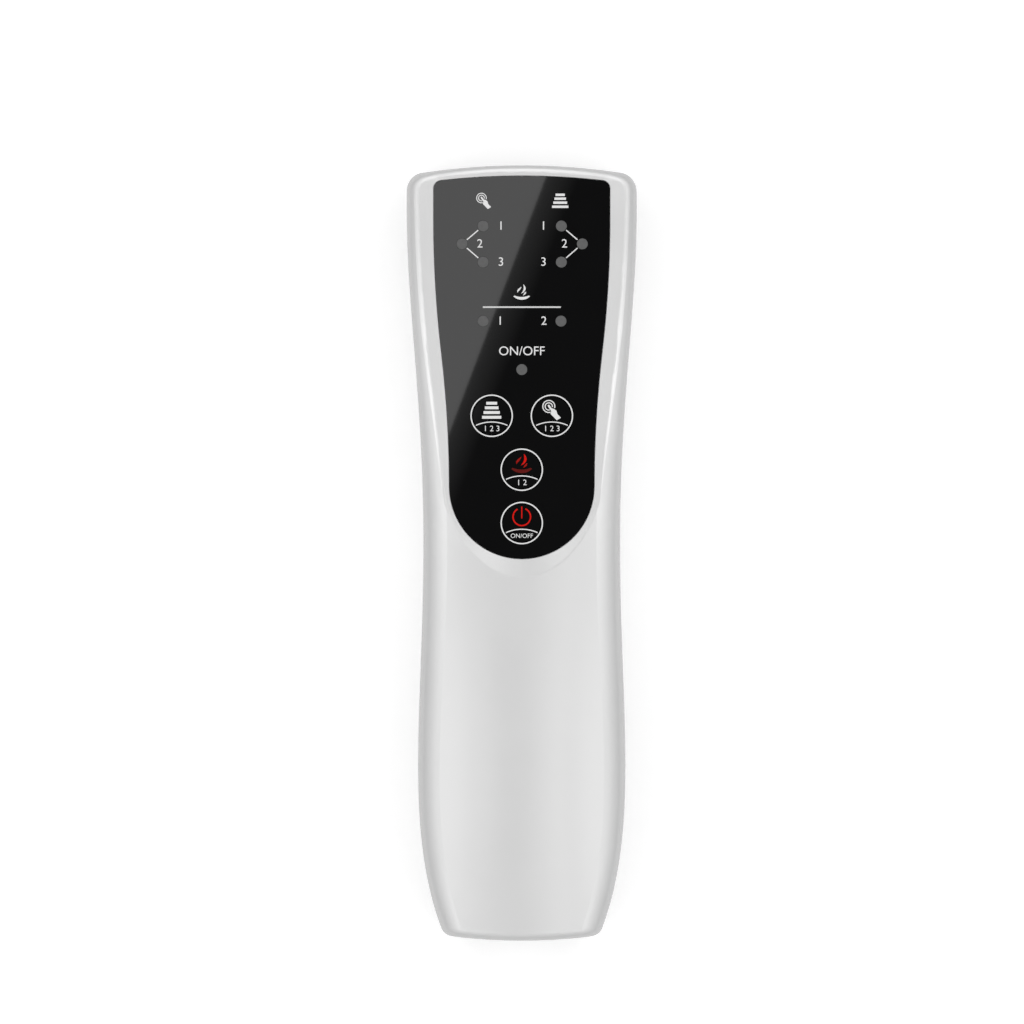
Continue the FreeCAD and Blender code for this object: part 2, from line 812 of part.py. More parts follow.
def saddle(name, z):
    """Two ribs across the handle, hollowed to the pump's rubber rings."""
    ribs = []
    for index, low in enumerate(CUSHION_PLACES):
        start = low + (d.cushion_length - d.rib_thickness) / 2
        ribs.append(slab(f"{name}_{index}", (-d.rib_half, d.rib_half), (start, start + d.rib_thickness), z))
    bore = cylinder(f"{name}_bore", SADDLE_RADIUS, FAR, 0, -FAR / 2, d.pump_z, "y")
    return cut(f"{name}_ribs", fuse(f"{name}_blank", ribs), [bore])


def front_shell():
    half = common("front_half", form, slab("front_side", (-FAR, FAR), (-FAR, FAR), (d.parting, FAR)))
    hollow = cut("front_hollow", half, [cavity])
    groove = common("front_groove", groove_form, groove_level)
    grooved = cut("front_grooved", hollow, [groove])
    posts = [
        cylinder(f"front_boss_{i}", d.boss_front_radius, FAR, x, y, d.parting)
        for i, (x, y) in enumerate(SCREW_PLACES)
    ]
    tall = LEDGE_TOP - d.board_top - d.tape_thickness
    posts += [
        cylinder(f"standoff_{i}", d.standoff_radius, tall, x, y, d.board_top)
        for i, (x, y) in enumerate(BOARD_SCREW_PLACES)
    ]
    posts.append(saddle("hold_down", (d.pump_z + d.rib_half / 2, FAR)))
    jack_top = d.jack_z + d.jack_half
    jack_y = (INNER_FOOT + d.wall, INNER_FOOT + d.jack_length - d.wall)
    for side in (-1, 1):
        middle = side * d.jack_half / 2
        across = (middle - d.wall / 2, middle + d.wall / 2)
        posts.append(slab(f"jack_rib_{side + 1}", across, jack_y, (jack_top, FAR)))
    inner_posts = common("front_posts", fuse("front_post_blanks", posts), form)
    shell = fuse("front_with_posts", [grooved, inner_posts])
    seat = padded("panel_seat", panel_outline(d.panel_gap), LEDGE_TOP, LEDGE_TOP + d.length)
    holes = [seat]
    for name, (x, y) in BUTTON_PLACES.items():
        holes.append(cylinder(f"{name}_well", d.button_well, FAR, x, y, d.board_top + d.switch_height))
    for name, (x, y) in GUIDE_PLACES.items():
        holes.append(cylinder(f"{name}_bore", d.guide_radius + d.guide_gap, FAR, x, y, d.board_top))
        sunk = LEDGE_TOP - d.guide_flange_thickness - d.guide_gap
        holes.append(cylinder(f"{name}_sink", d.guide_flange + d.guide_gap, FAR, x, y, sunk))
    for i, (x, y) in enumerate(SCREW_PLACES):
        depth = d.screw_seat + d.screw_length + d.bite - d.parting
        holes.append(cylinder(f"pilot_{i}", d.screw_radius + d.screw_gap, depth, x, y, d.parting))
    for i, (x, y) in enumerate(BOARD_SCREW_PLACES):
        depth, radius = LEDGE_UNDER - d.board_top - d.bite, d.board_screw_radius + d.screw_gap
        holes.append(cylinder(f"board_pilot_{i}", radius, depth, x, y, d.board_top))
    opening = d.jack_collar + d.port_gap
    holes.append(cylinder("jack_opening", opening, FAR, 0, INNER_FOOT - FAR, d.jack_z, "y"))
    piece(cut("front_shell_cut", shell, holes), "front_shell")


def rear_shell():
    half = common("rear_half", form, slab("rear_side", (-FAR, FAR), (-FAR, FAR), (-FAR, d.parting)))
    hollow = cut("rear_hollow", half, [cavity])
    lip = cut("rear_lip", common("lip_band", lip_form, lip_level), [cavity])
    posts = [
        cylinder(f"rear_boss_{i}", d.boss_rear_radius, d.parting, x, y, 0)
        for i, (x, y) in enumerate(SCREW_PLACES)
    ]
    posts.append(saddle("cradle", (0, d.pump_z - d.rib_half / 2)))
    valve_bottom = d.valve_z - d.yoke_half_height
    for side in (-1, 1):
        across = (side * d.valve_x - d.yoke_half_width, side * d.valve_x + d.yoke_half_width)
        for index, start in enumerate((NOSE_BACK + d.wall, YOKE_TAIL - 2 * d.wall)):
            along = (start, start + d.wall)
            posts.append(slab(f"valve_rib_{side + 1}_{index}", across, along, (0, valve_bottom)))
        near = side * d.feed_x
        foot, along = (near - d.wall, near + d.wall), (MANIFOLD_FACE + d.bite, MANIFOLD_BACK - d.bite)
        posts.append(slab(f"manifold_post_{side + 1}", foot, along, (0, d.manifold_bottom)))
        under = (side * d.port_x - d.wall, side * d.port_x + d.wall)
        shelf = (INNER_FOOT, INNER_FOOT + d.block_length)
        posts.append(slab(f"port_shelf_{side + 1}", under, shelf, (0, d.port_z - d.block_half_height)))
    inner_posts = common("rear_posts", fuse("rear_post_blanks", posts), form)
    shell = fuse("rear_with_posts", [hollow, lip, inner_posts])
    holes = []
    for i, (x, y) in enumerate(SCREW_PLACES):
        holes.append(cylinder(f"counterbore_{i}", d.counterbore_radius, d.screw_seat + d.bite, x, y, -d.bite))
        holes.append(cylinder(f"screw_hole_{i}", d.screw_radius + 4 * d.screw_gap, FAR, x, y, 0))
    for side in (-1, 1):
        sockets = (("port", d.port_x, d.port_collar), ("contact", d.contact_x, d.contact_radius))
        for name, x, radius in sockets:
            start = INNER_FOOT - FAR
            room = radius + d.port_gap
            holes.append(cylinder(f"{name}_hole_{side + 1}", room, FAR, side * x, start, d.port_z, "y"))
    middle = (PLATE_FACE + DIAPHRAGM_FACE) / 2
    for index in range(int(SIZES["slot_count"])):
        x = (index - (d.slot_count - 1) / 2) * d.slot_pitch
        holes.append(slot(f"intake_{index}", x, middle, -d.bite, d.wall + 2 * d.bite))
    piece(cut("rear_shell_cut", shell, holes), "rear_shell")


def slot(name, x, y, low, height):
    """A round-ended slot along Y."""
    half, run = d.slot_width / 2, d.slot_length / 2 - d.slot_width / 2
    points = [
        (x - half, y - run, (half, 1)), (x, y - run - half, (half, 1)), (x + half, y - run, None),
        (x + half, y + run, (half, 1)), (x, y + run + half, (half, 1)), (x - half, y + run, None),
    ]
    return padded(name, points, low, low + height)


def housing_screws():
    screws = []
    for i, (x, y) in enumerate(SCREW_PLACES):
        seat = d.screw_seat
        points = (
            (0.0, seat - d.screw_head_height), (d.screw_head_radius, seat - d.screw_head_height),
            (d.screw_head_radius, seat), (d.screw_radius, seat),
            (d.screw_radius, seat + d.screw_length - d.screw_radius), (0.0, seat + d.screw_length),
        )
        screws.append(turned(f"housing_screw_{i}", points, x=x, y=y, axis="z"))
    piece(group("housing_screw_set", screws), "housing_screws")


def panel_pieces():
    holes = [(x, y, d.button_radius + d.button_gap) for x, y in BUTTON_PLACES.values()]
    holes += [(x, y, d.guide_radius + d.guide_gap) for x, y in GUIDE_PLACES.values()]
    piece(padded("panel_plate", panel_outline(size(0.0)), PANEL_UNDER, d.panel_top, holes=holes), "panel")
    holes = [(x, y, d.button_well) for x, y in BUTTON_PLACES.values()]
    holes += [(x, y, d.guide_radius + 4 * d.guide_gap) for x, y in GUIDE_PLACES.values()]
    tape = padded("tape_sheet", panel_outline(-d.tape_inset), LEDGE_TOP, PANEL_UNDER, holes=holes)
    piece(tape, "panel_tape")
    guides = []
    led_top = d.board_top + d.led_height
    for name, (x, y) in GUIDE_PLACES.items():
        low, flange = led_top + d.flange_gap, LEDGE_TOP - d.guide_gap
        under = flange - d.guide_flange_thickness
        points = (
            (0.0, low), (d.guide_radius, low), (d.guide_radius, under), (d.guide_flange, under),
            (d.guide_flange, flange), (d.guide_radius, flange), (d.guide_radius, d.panel_top),
            (0.0, d.panel_top),
        )
        guides.append(turned(f"{name}_guide", points, x=x, y=y, axis="z"))
    piece(group("guide_set", guides), "light_guides")


def buttons():
    low = FLANGE_TOP - d.flange_thickness
    for name, (x, y) in BUTTON_PLACES.items():
        points = (
            (0.0, PLUNGER_TOP), (d.button_stem, PLUNGER_TOP), (d.button_stem, low), (d.button_flange, low),
            (d.button_flange, FLANGE_TOP), (d.button_radius, FLANGE_TOP),
            (d.button_radius, d.panel_top - d.button_edge), (d.button_radius - d.button_edge, d.panel_top),
            (0.0, d.panel_top),
        )
        piece(turned(f"{name}_cap", points, x=x, y=y, axis="z"), f"{name}_button")


def switches():
    bodies = []
    top = d.board_top + d.switch_height
    half = d.switch_side / 2
    hole = d.plunger_radius + d.plunger_gap
    well = d.plunger_depth + 2 * d.button_travel
    for name, (x, y) in BUTTON_PLACES.items():
        block = slab(f"{name}_switch_block", (x - half, x + half), (y - half, y + half), (d.board_top, top))
        bore = cylinder(f"{name}_switch_hole", hole, FAR, x, y, top - well)
        bodies.append(cut(f"{name}_switch", block, [bore]))
        tall = d.plunger_depth + d.plunger_rise
        rod = cylinder(f"{name}_rod", d.plunger_radius, tall, x, y, top - d.plunger_depth)
        piece(rod, f"{name}_switch_plunger")
    piece(group("switch_set", bodies), "switch_bodies")


def board():
    top, low = HEAD - d.board_margin, HEAD - d.board_margin - d.board_length
    wide, narrow, chamfer = d.board_half_top, d.board_half_low, d.board_chamfer
    middle = top - d.board_length / 2
    points = corners(
        (-(narrow - chamfer), low), (narrow - chamfer, low), (narrow, low + chamfer), (wide, middle),
        (wide, top), (-wide, top), (-wide, middle), (-narrow, low + chamfer),
    )
    holes = [(x, y, d.board_screw_radius + d.screw_gap) for x, y in BOARD_SCREW_PLACES]
    piece(padded("board_sheet", points, BOARD_UNDER, d.board_top, holes=holes), "control_board")
    screws = []
    head, tip = BOARD_UNDER - d.board_screw_head_height, BOARD_UNDER + d.board_screw_length
    for i, (x, y) in enumerate(BOARD_SCREW_PLACES):
        points = (
            (0.0, head), (d.board_screw_head, head), (d.board_screw_head, BOARD_UNDER),
            (d.board_screw_radius, BOARD_UNDER), (d.board_screw_radius, tip), (0.0, tip),
        )
        screws.append(turned(f"board_screw_{i}", points, x=x, y=y, axis="z"))
    piece(group("board_screw_set", screws), "board_screws")
    leds = []
    half, height = d.led_side / 2, (d.board_top, d.board_top + d.led_height)
    for name, (x, y) in GUIDE_PLACES.items():
        leds.append(slab(f"{name}_led", (x - half, x + half), (y - half, y + half), height))
    piece(group("led_set", leds), "indicator_leds")


def board_components():
    """What is soldered to the board: logic and power pieces below, plugs for the leads above."""
    low = HEAD - d.board_margin - d.board_length
    chip = d.chip_side / 2
    chip_y = YOKE_TAIL + d.chip_side
    below = (BOARD_UNDER - d.chip_height, BOARD_UNDER)
    piece(slab("chip", (-chip, chip), (chip_y - chip, chip_y + chip), below), "controller_chip")
    drivers, cans, plugs = [], [], []
    for side in (-1, 1):
        x = side * d.driver_x
        half = d.driver_side / 2
        along = (chip_y - half, chip_y + half)
        drivers.append(slab(f"driver_{side + 1}", (x - half, x + half), along, below))
        can_y = chip_y + d.chip_side + d.capacitor_radius
        can = cylinder(f"capacitor_{side + 1}", d.capacitor_radius, d.capacitor_height,
                       side * d.capacitor_x, can_y, BOARD_UNDER - d.capacitor_height)
        cans.append(can)
        x = side * d.plug_x
        half, near = d.plug_width / 2, low + d.plug_margin
        plugs.append(slab(f"plug_{side + 1}", (x - half, x + half), (near, near + d.plug_depth),
                          (d.board_top, d.board_top + d.plug_height)))
    piece(group("driver_set", drivers), "driver_transistors")
    piece(group("can_set", cans), "capacitors")
    piece(group("plug_set", plugs), "board_connectors")


def around(count, radius, start=90.0):
    """Places across and up on a circle, evenly spaced."""
    angles = [math.radians(start + 360.0 * i / count) for i in range(count)]
    return [(math.cos(a) * radius, math.sin(a) * radius) for a in angles]


def four_corners(spacing):
    return [(side_x * spacing, side_z * spacing) for side_x in (-1, 1) for side_z in (-1, 1)]


def small_screw(name, tip, seat, x, z):
    """A pan-headed screw along Y from its tip to the face that its head sits on."""
    radius, head, top = d.pump_screw_radius, d.small_head_radius, seat + d.small_head_height
    points = ((0.0, tip), (radius, tip), (radius, seat), (head, seat), (head, top), (0.0, top))
    return turned(name, points, x=x, z=z)


def motor():
    """Brushed motor that drives the pump: its can, magnets, rotor, bushes and end cap."""
    z, wall, inside = d.pump_z, d.motor_wall, d.motor_radius - d.motor_wall
    seat = d.bush_radius + d.press_gap
    boss = d.bush_radius + wall
    boss_top = MOTOR_FACE + d.motor_boss
    cap_face = MOTOR_TAIL + d.end_cap_thickness
    hub_end = MOTOR_TAIL - d.end_cap_hub
    screws = [(side * d.motor_screw_x, d.pump_screw_radius + d.screw_gap) for side in (-1, 1)]
    can = turned("can_blank", (
        (seat, MOTOR_FACE - wall), (inside, MOTOR_FACE - wall), (inside, MOTOR_TAIL),
        (d.motor_radius, MOTOR_TAIL), (d.motor_radius, MOTOR_FACE), (boss, MOTOR_FACE),
        (boss, boss_top), (seat, boss_top),
    ), z=z)
    drills = [
        cylinder(f"can_hole_{i}", radius, 2 * wall, x, MOTOR_FACE - 1.5 * wall, z, "y")
        for i, (x, radius) in enumerate(screws)
    ]
    piece(cut("can_drilled", can, drills), "motor_can")

    cap_edge = inside - d.seat_gap
    cap = turned("end_cap_blank", (
        (seat, hub_end), (boss, hub_end), (boss, MOTOR_TAIL), (cap_edge, MOTOR_TAIL),
        (cap_edge, cap_face), (seat, cap_face),
    ), z=z)
    half, thick = d.terminal_width / 2, d.terminal_thickness / 2
    tabs, slits, brushes = [], [], []
    for side in (-1, 1):
        x = side * d.terminal_x
        reach = (MOTOR_TAIL - d.terminal_length, cap_face)
        tabs.append(slab(f"terminal_{side + 1}", (x - half, x + half), reach, (z - thick, z + thick)))
        wide, tall = half + d.seat_gap, thick + d.seat_gap
        slits.append(slab(f"terminal_slit_{side + 1}", (x - wide, x + wide), reach, (z - tall, z + tall)))
        inner, outer = d.commutator_radius + d.brush_gap, d.terminal_x + half
        across = (inner, outer) if side > 0 else (-outer, -inner)
        brushes.append(slab(f"brush_{side + 1}", across, (cap_face, COMMUTATOR_HIGH), (z - half, z + half)))
    piece(cut("end_cap_slit", cap, slits), "motor_end_cap")
    piece(group("terminal_set", tabs), "motor_terminals")
    piece(group("brush_set", brushes), "motor_brushes")

    bore = d.shaft_radius + d.shaft_gap
    front = ring("front_bush", bore, d.bush_radius, boss_top - d.bush_length, boss_top, z=z)
    back = ring("back_bush", bore, d.bush_radius, hub_end, hub_end + d.bush_length, z=z)
    piece(group("bush_set", [front, back]), "motor_bushes")

    rim = inside - d.seat_gap
    magnet = ring("magnet_ring", rim - d.magnet_thickness, rim, MAGNET_LOW, MAGNET_LOW + d.magnet_length, z=z)
    split = slab("magnet_split", (-d.magnet_split, d.magnet_split), (MOTOR_TAIL, MOTOR_FACE), (0, FAR))
    piece(cut("magnet_pair", magnet, [split]), "motor_magnets")

    pressed = d.shaft_radius + d.press_gap
    core = ring("core_blank", pressed, d.armature_radius, ARMATURE_LOW, ARMATURE_HIGH, z=z)
    slots, coils = [], []
    run, start = d.armature_length + 2 * d.winding_overhang, ARMATURE_LOW - d.winding_overhang
    room = d.winding_radius + d.press_gap
    for i, (x, up) in enumerate(around(POLES, d.winding_circle)):
        slots.append(cylinder(f"core_slot_{i}", room, run, x, start, z + up, "y"))
        coils.append(cylinder(f"winding_{i}", d.winding_radius, run, x, start, z + up, "y"))
    for i, (x, up) in enumerate(around(POLES, d.armature_radius)):
        slots.append(cylinder(f"core_mouth_{i}", d.slot_mouth, run, x, start, z + up, "y"))
    piece(cut("core_slotted", core, slots), "armature_core")
    piece(group("winding_set", coils), "armature_windings")
    low = COMMUTATOR_HIGH - d.commutator_length
    piece(ring("commutator_ring", pressed, d.commutator_radius, low, COMMUTATOR_HIGH, z=z), "commutator")
    shaft = cylinder("shaft_rod", d.shaft_radius, CRANK_BACK + d.shaft_grip - hub_end, 0, hub_end, z, "y")
    piece(shaft, "motor_shaft")

    bolts = []
    floor = MOTOR_FACE + d.base_floor
    for i, (x, _) in enumerate(screws):
        bolts.append(small_screw(f"motor_screw_{i}", MOTOR_FACE - 2 * wall, floor, x, z))
    piece(group("motor_screw_set", bolts), "motor_screws")
    cushions = []
    inner = d.motor_radius + d.seat_gap
    outer = inner + d.cushion_thickness
    for i, start in enumerate(CUSHION_PLACES):
        cushions.append(ring(f"cushion_{i}", inner, outer, start, start + d.cushion_length, z=z))
    piece(group("cushion_set", cushions), "pump_cushions")


def crank():
    """Crank wheel on the shaft, its tilted pin, and the plate that the pin makes wobble."""
    z = d.pump_z
    grip = CRANK_BACK + d.shaft_grip + d.seat_gap
    seat = d.shaft_radius + d.press_gap
    wheel = turned("wheel_blank", (
        (seat, CRANK_BACK), (d.crank_radius, CRANK_BACK), (d.crank_radius, CRANK_FRONT),
        (0.0, CRANK_FRONT), (0.0, grip), (seat, grip),
    ), z=z)
    pin_end = (WOBBLE_CENTRE - CRANK_BACK - d.shaft_grip - d.pin_clear) / cosine(d.pin_tilt)
    hole = d.pin_radius + d.press_gap
    bore = turned("pin_bore", (
        (0.0, 0.0), (hole, 0.0), (hole, pin_end), (0.0, pin_end),
    ), z=z, y=WOBBLE_CENTRE, axis="pin")
    piece(cut("wheel_bored", wheel, [bore]), "crank_wheel")
    top = -d.wobble_hub_rise
    rod = turned("pin_rod", (
        (0.0, top), (d.pin_radius, top), (d.pin_radius, pin_end), (0.0, pin_end),
    ), z=z, y=WOBBLE_CENTRE, axis="pin")
    piece(rod, "crank_pin")
    bore, hub, end = d.pin_radius + d.pin_gap, d.wobble_hub, d.wobble_hub_length - d.wobble_hub_rise
    face, under = -d.wobble_disc_rise, d.wobble_thickness - d.wobble_disc_rise
    holes = [(x, up, d.stem_hole) for x, up in around(CUPS, d.cup_circle)]
    plate = turned("wobble_blank", (
        (bore, top), (hub, top), (hub, face), (d.wobble_radius, face),
        (d.wobble_radius, under), (hub, under), (hub, end), (bore, end),
    ), z=z, y=WOBBLE_CENTRE, axis="pin", holes=holes)
    piece(plate, "wobble_plate")


def pump():
    """Diaphragm pump: a base round the crank, a rubber diaphragm with cups, a valve plate and a head."""
    z, half, corner = d.pump_z, d.pump_half, d.pump_corner
    screw_places = [(x, z + up) for x, up in four_corners(d.pump_screw_spacing)]
    hole = d.pump_screw_radius + d.screw_gap
    through = [(x, up, hole) for x, up in screw_places]

    blank = rounded("base_blank", half, half, corner, MOTOR_FACE, BASE_FACE, z=z)
    eye = d.bush_radius + d.motor_wall + d.seat_gap
    tools = [
        cylinder("base_cavity", d.base_bore, FAR, 0, MOTOR_FACE + d.base_floor, z, "y"),
        cylinder("base_eye", eye, FAR, 0, MOTOR_FACE - d.base_floor, z, "y"),
    ]
    for i, (x, up) in enumerate(screw_places):
        tools.append(cylinder(f"base_pilot_{i}", hole, FAR, x, BASE_FACE - d.base_thread - d.bite, up, "y"))
    for side in (-1, 1):
        x, start, deep = side * d.motor_screw_x, MOTOR_FACE - d.bite, d.base_floor + 2 * d.bite
        tools.append(cylinder(f"base_motor_hole_{side + 1}", hole, deep, x, start, z, "y"))
    piece(cut("base_bored", blank, tools), "pump_base")

    flange = rounded("diaphragm_flange", half, half, corner, BASE_FACE, DIAPHRAGM_FACE, z=z, holes=through)
    cups, hollows = [], []
    shoulder, neck = BASE_FACE - d.cup_wall, BASE_FACE - d.cup_depth
    bulb = WOBBLE_CENTRE - d.bulb_drop
    inner = d.cup_radius - d.cup_wall
    for i, (x, up) in enumerate(around(CUPS, d.cup_circle)):
        cups.append(turned(f"cup_{i}", (
            (0.0, DIAPHRAGM_FACE), (d.cup_radius, DIAPHRAGM_FACE), (d.cup_radius, shoulder),
            (d.stem_radius, neck), (d.stem_radius, bulb), (d.bulb_radius, bulb),
            (d.stem_radius / 2, bulb - d.bulb_length), (0.0, bulb - d.bulb_length),
        ), x=x, z=z + up))
        hollows.append(turned(f"cup_hollow_{i}", (
            (0.0, DIAPHRAGM_FACE + d.bite), (inner, DIAPHRAGM_FACE + d.bite), (inner, shoulder + d.cup_wall),
            (d.stem_radius, neck + d.cup_wall), (0.0, neck + d.cup_wall),
        ), x=x, z=z + up))
    piece(cut("diaphragm_moulding", fuse("diaphragm_solid", [flange] + cups), hollows), "diaphragm")

    inlets = [(x, z + up) for x, up in around(CUPS, d.inlet_circle)]
    drilled = through + [(x, up, d.inlet_hole) for x, up in inlets]
    drilled += [(x, z + up, d.outlet_hole) for x, up in around(CUPS, d.outlet_circle)]
    drilled.append((0.0, z, d.nib_radius + d.seat_gap))
    plate = rounded("plate_blank", half, half, corner, DIAPHRAGM_FACE, PLATE_FACE, z=z, holes=drilled)
    piece(plate, "valve_plate")

    nib, top, edge = PLATE_FACE - d.valve_plate_thickness / 2, PLATE_FACE + d.flap_thickness, FLAP_EDGE
    flaps = [turned("outlet_flap", (
        (0.0, nib), (d.nib_radius, nib), (d.nib_radius, PLATE_FACE),
        (edge, PLATE_FACE), (edge, top), (0.0, top),
    ), z=z)]
    under = DIAPHRAGM_FACE - d.flap_thickness
    for i, (x, up) in enumerate(inlets):
        flaps.append(cylinder(f"inlet_flap_{i}", d.inlet_flap, d.flap_thickness, x, under, up, "y"))
    piece(group("flap_set", flaps), "flap_valves")

    blank = rounded("head_blank", half, half, corner, PLATE_FACE, HEAD_FACE, z=z, holes=through)
    nozzle = cylinder("head_nozzle", d.nipple_radius, NIPPLE_REACH, 0, HEAD_FACE - d.bite, z, "y")
    wall = d.bobbin_wall
    plenum = (d.chamber_radius + 1.5 * wall, d.inlet_circle + d.inlet_flap + wall)
    tools = [
        cylinder("head_chamber", d.chamber_radius, d.chamber_depth, 0, PLATE_FACE, z, "y"),
        ring("head_plenum", *plenum, PLATE_FACE - d.bite, PLATE_FACE + d.chamber_depth, z=z),
        cylinder("head_intake", d.outlet_hole, FAR, 0, PLATE_FACE + d.bite, z + d.inlet_circle, "y"),
        cylinder("head_outlet", d.nipple_bore, FAR, 0, PLATE_FACE + d.bite, z, "y"),
    ]
    piece(cut("head_bored", fuse("head_with_nozzle", [blank, nozzle]), tools), "pump_head")

    screws = []
    tip = BASE_FACE - d.base_thread
    for i, (x, up) in enumerate(screw_places):
        screws.append(small_screw(f"pump_screw_{i}", tip, HEAD_FACE, x, up))
    piece(group("pump_screw_set", screws), "pump_screws")


def solenoid_valves():
    """Two solenoid valves, one for each leg: yoke, bobbin, winding, core, plunger, spring and nose."""
    z, strap = d.valve_z, d.yoke_strap
    bore = d.valve_plunger_radius + d.valve_plunger_gap
    tube = bore + d.bobbin_wall
    low, high = NOSE_BACK + strap, YOKE_TAIL - strap
    core_face = YOKE_TAIL - d.core_length
    plunger_end = core_face - d.valve_travel - d.tube_end_gap
    chamber = NOSE_FACE + d.nose_floor
    seat = chamber + d.seat_rise
    parts = {"yokes": [], "bobbins": [], "windings": [], "cores": [], "noses": []}
    for side, name in ((-1, "left"), (1, "right")):
        x = side * d.valve_x
        across, tall = d.yoke_half_width, d.yoke_half_height
        outer, inner = (z - tall, z + tall), (z - tall + strap, z + tall - strap)
        frame = slab(f"{name}_yoke_blank", (x - across, x + across), (NOSE_BACK, YOKE_TAIL), outer)
        window = slab(f"{name}_yoke_window", (x - 2 * across, x + 2 * across), (low, high), inner)
        eye = cylinder(f"{name}_yoke_eye", bore, d.yoke_length + 2 * d.bite, x, NOSE_BACK - d.bite, z, "y")
        parts["yokes"].append(cut(f"{name}_yoke", frame, [window, eye]))
        gap, rim = d.seat_gap, d.coil_radius
        ends = (low + gap, high - gap)
        inside = (ends[0] + d.bobbin_wall, ends[1] - d.bobbin_wall)
        parts["bobbins"].append(turned(f"{name}_bobbin", (
            (bore, ends[0]), (rim, ends[0]), (rim, inside[0]), (tube, inside[0]),
            (tube, inside[1]), (rim, inside[1]), (rim, ends[1]), (bore, ends[1]),
        ), x=x, z=z))
        coil = ring(f"{name}_winding", tube + gap, rim - gap, inside[0] + gap, inside[1] - gap, x=x, z=z)
        parts["windings"].append(coil)
        core = cylinder(f"{name}_core", bore - d.press_gap, d.core_length, x, core_face, z, "y")
        parts["cores"].append(core)
        nest = d.spring_radius + d.spring_wire + d.spring_gap
        tip, rod, floor = seat + gap, d.valve_plunger_radius, plunger_end - d.spring_nest
        plunger = turned(f"{name}_plunger_rod", (
            (0.0, tip), (rod, tip), (rod, plunger_end), (nest, plunger_end), (nest, floor), (0.0, floor),
        ), x=x, z=z)
        piece(plunger, f"{name}_valve_plunger")
        piece(coil_spring(f"{name}_spring", x, floor + gap, core_face - gap, z), f"{name}_valve_spring")
        parts["noses"].append(valve_nose(name, side, x, chamber, seat))
    for name, shapes in parts.items():
        piece(group(f"{name}_set", shapes), f"valve_{name}")


def valve_nose(name, side, x, chamber, seat):
    """Air block on the front of a valve: an inlet, a seat that the plunger closes, and an outlet."""
    z, half = d.valve_z, d.yoke_half_width - d.seat_gap
    block = rounded(f"{name}_nose_block", half, d.yoke_half_height, d.block_corner,
                    NOSE_FACE, NOSE_BACK, x=x, z=z)
    inlet, outlet = (side * d.feed_x, z), (side * d.outlet_x, d.outlet_z)
    body, tools = [block], []
    room = d.valve_plunger_radius + d.bobbin_wall
    hollow = cylinder(f"{name}_nose_room", room, d.nose_length, x, chamber, z, "y")
    lip = ring(f"{name}_seat", d.nipple_bore, d.nipple_radius, chamber - d.seat_rise, seat, x=x, z=z)
    bores = (("inlet", inlet, chamber + d.nipple_length / 2), ("outlet", outlet, chamber - d.seat_rise))
    for kind, (at, up), end in bores:
        tip = NOSE_FACE - d.nipple_length
        body.append(cylinder(f"{name}_{kind}_nipple", d.nipple_radius, NIPPLE_REACH, at, tip, up, "y"))
        start = tip - d.bite
        tools.append(cylinder(f"{name}_{kind}_bore", d.nipple_bore, end - start, at, start, up, "y"))
    near, far = (x, outlet[0]) if side > 0 else (outlet[0], x)
    gallery = slab(f"{name}_gallery", (near - d.nipple_bore, far + d.nipple_bore),
                   (NOSE_FACE + d.bobbin_wall, NOSE_FACE + 2 * d.bobbin_wall + d.nipple_bore),
                   (outlet[1] - d.nipple_bore, z + d.nipple_bore))
    tools.append(gallery)
    start = NOSE_FACE + d.bobbin_wall
    tools.append(cylinder(f"{name}_seat_bore", d.nipple_bore, d.nose_length, x, start, z, "y"))
    hollowed = cut(f"{name}_nose_hollow", fuse(f"{name}_nose_solid", body), [hollow])
    return cut(f"{name}_nose", fuse(f"{name}_nose_seated", [hollowed, lip]), tools)


def tangent_arcs(start, heading, end, leaving):
    """Two arcs that leave one point and reach another along the given unit directions."""
    chord, sum_of, turn = end - start, heading + leaving, 2 * (1 - heading.dot(leaving))
    reach = (math.sqrt(chord.dot(sum_of) ** 2 + turn * chord.dot(chord)) - chord.dot(sum_of)) / turn
    knots = (start + heading * reach, end - leaving * reach)
    middle = (knots[0] + knots[1]) / 2
    arcs = []
    for first, knot, last in ((start, knots[0], middle), (middle, knots[1], end)):
        inward = (first + last) / 2 - knot
        rise = reach * (reach - (last - first).Length / 2) / inward.Length ** 2
        arcs.append(Part.Arc(first, knot + inward * rise, last).toShape())
    return arcs


def coil_spring(name, x, start, stop, z):
    """A small compression spring along Y, a tube along arcs that follow its turns by quarters."""
    wire, radius, turns = float(d.spring_wire), float(d.spring_radius), float(d.spring_turns)
    pitch = (float(stop) - float(start) - 2 * wire) / turns
    slope = pitch / (2 * math.pi)
    stops = []
    for step in range(int(4 * turns) + 1):
        angle = step * math.pi / 2
        across, up = math.cos(angle), math.sin(angle)
        heading = Vector(-radius * up, radius * across, slope).normalize()
        stops.append((Vector(radius * across, radius * up, slope * angle), heading))
    edges = []
    for (here, heading), (there, leaving) in zip(stops, stops[1:]):
        edges += tangent_arcs(here, heading, there, leaving)
    obj = feature(name, swept(name, Part.Wire(edges), wire))
    print(f"{name}: gap between turns {pitch - 2 * wire:.2f} mm")
    return put(obj, x, start + d.spring_wire, z, "y")


def report_tube(name, shape, expected):
    print(f"{name}: volume {shape.Volume:.2f}, section times length {expected:.2f} mm3")
    if abs(shape.Volume - expected) > SWEEP_TOLERANCE * expected:
        raise RuntimeError(f"{name} is not swept along its whole path")


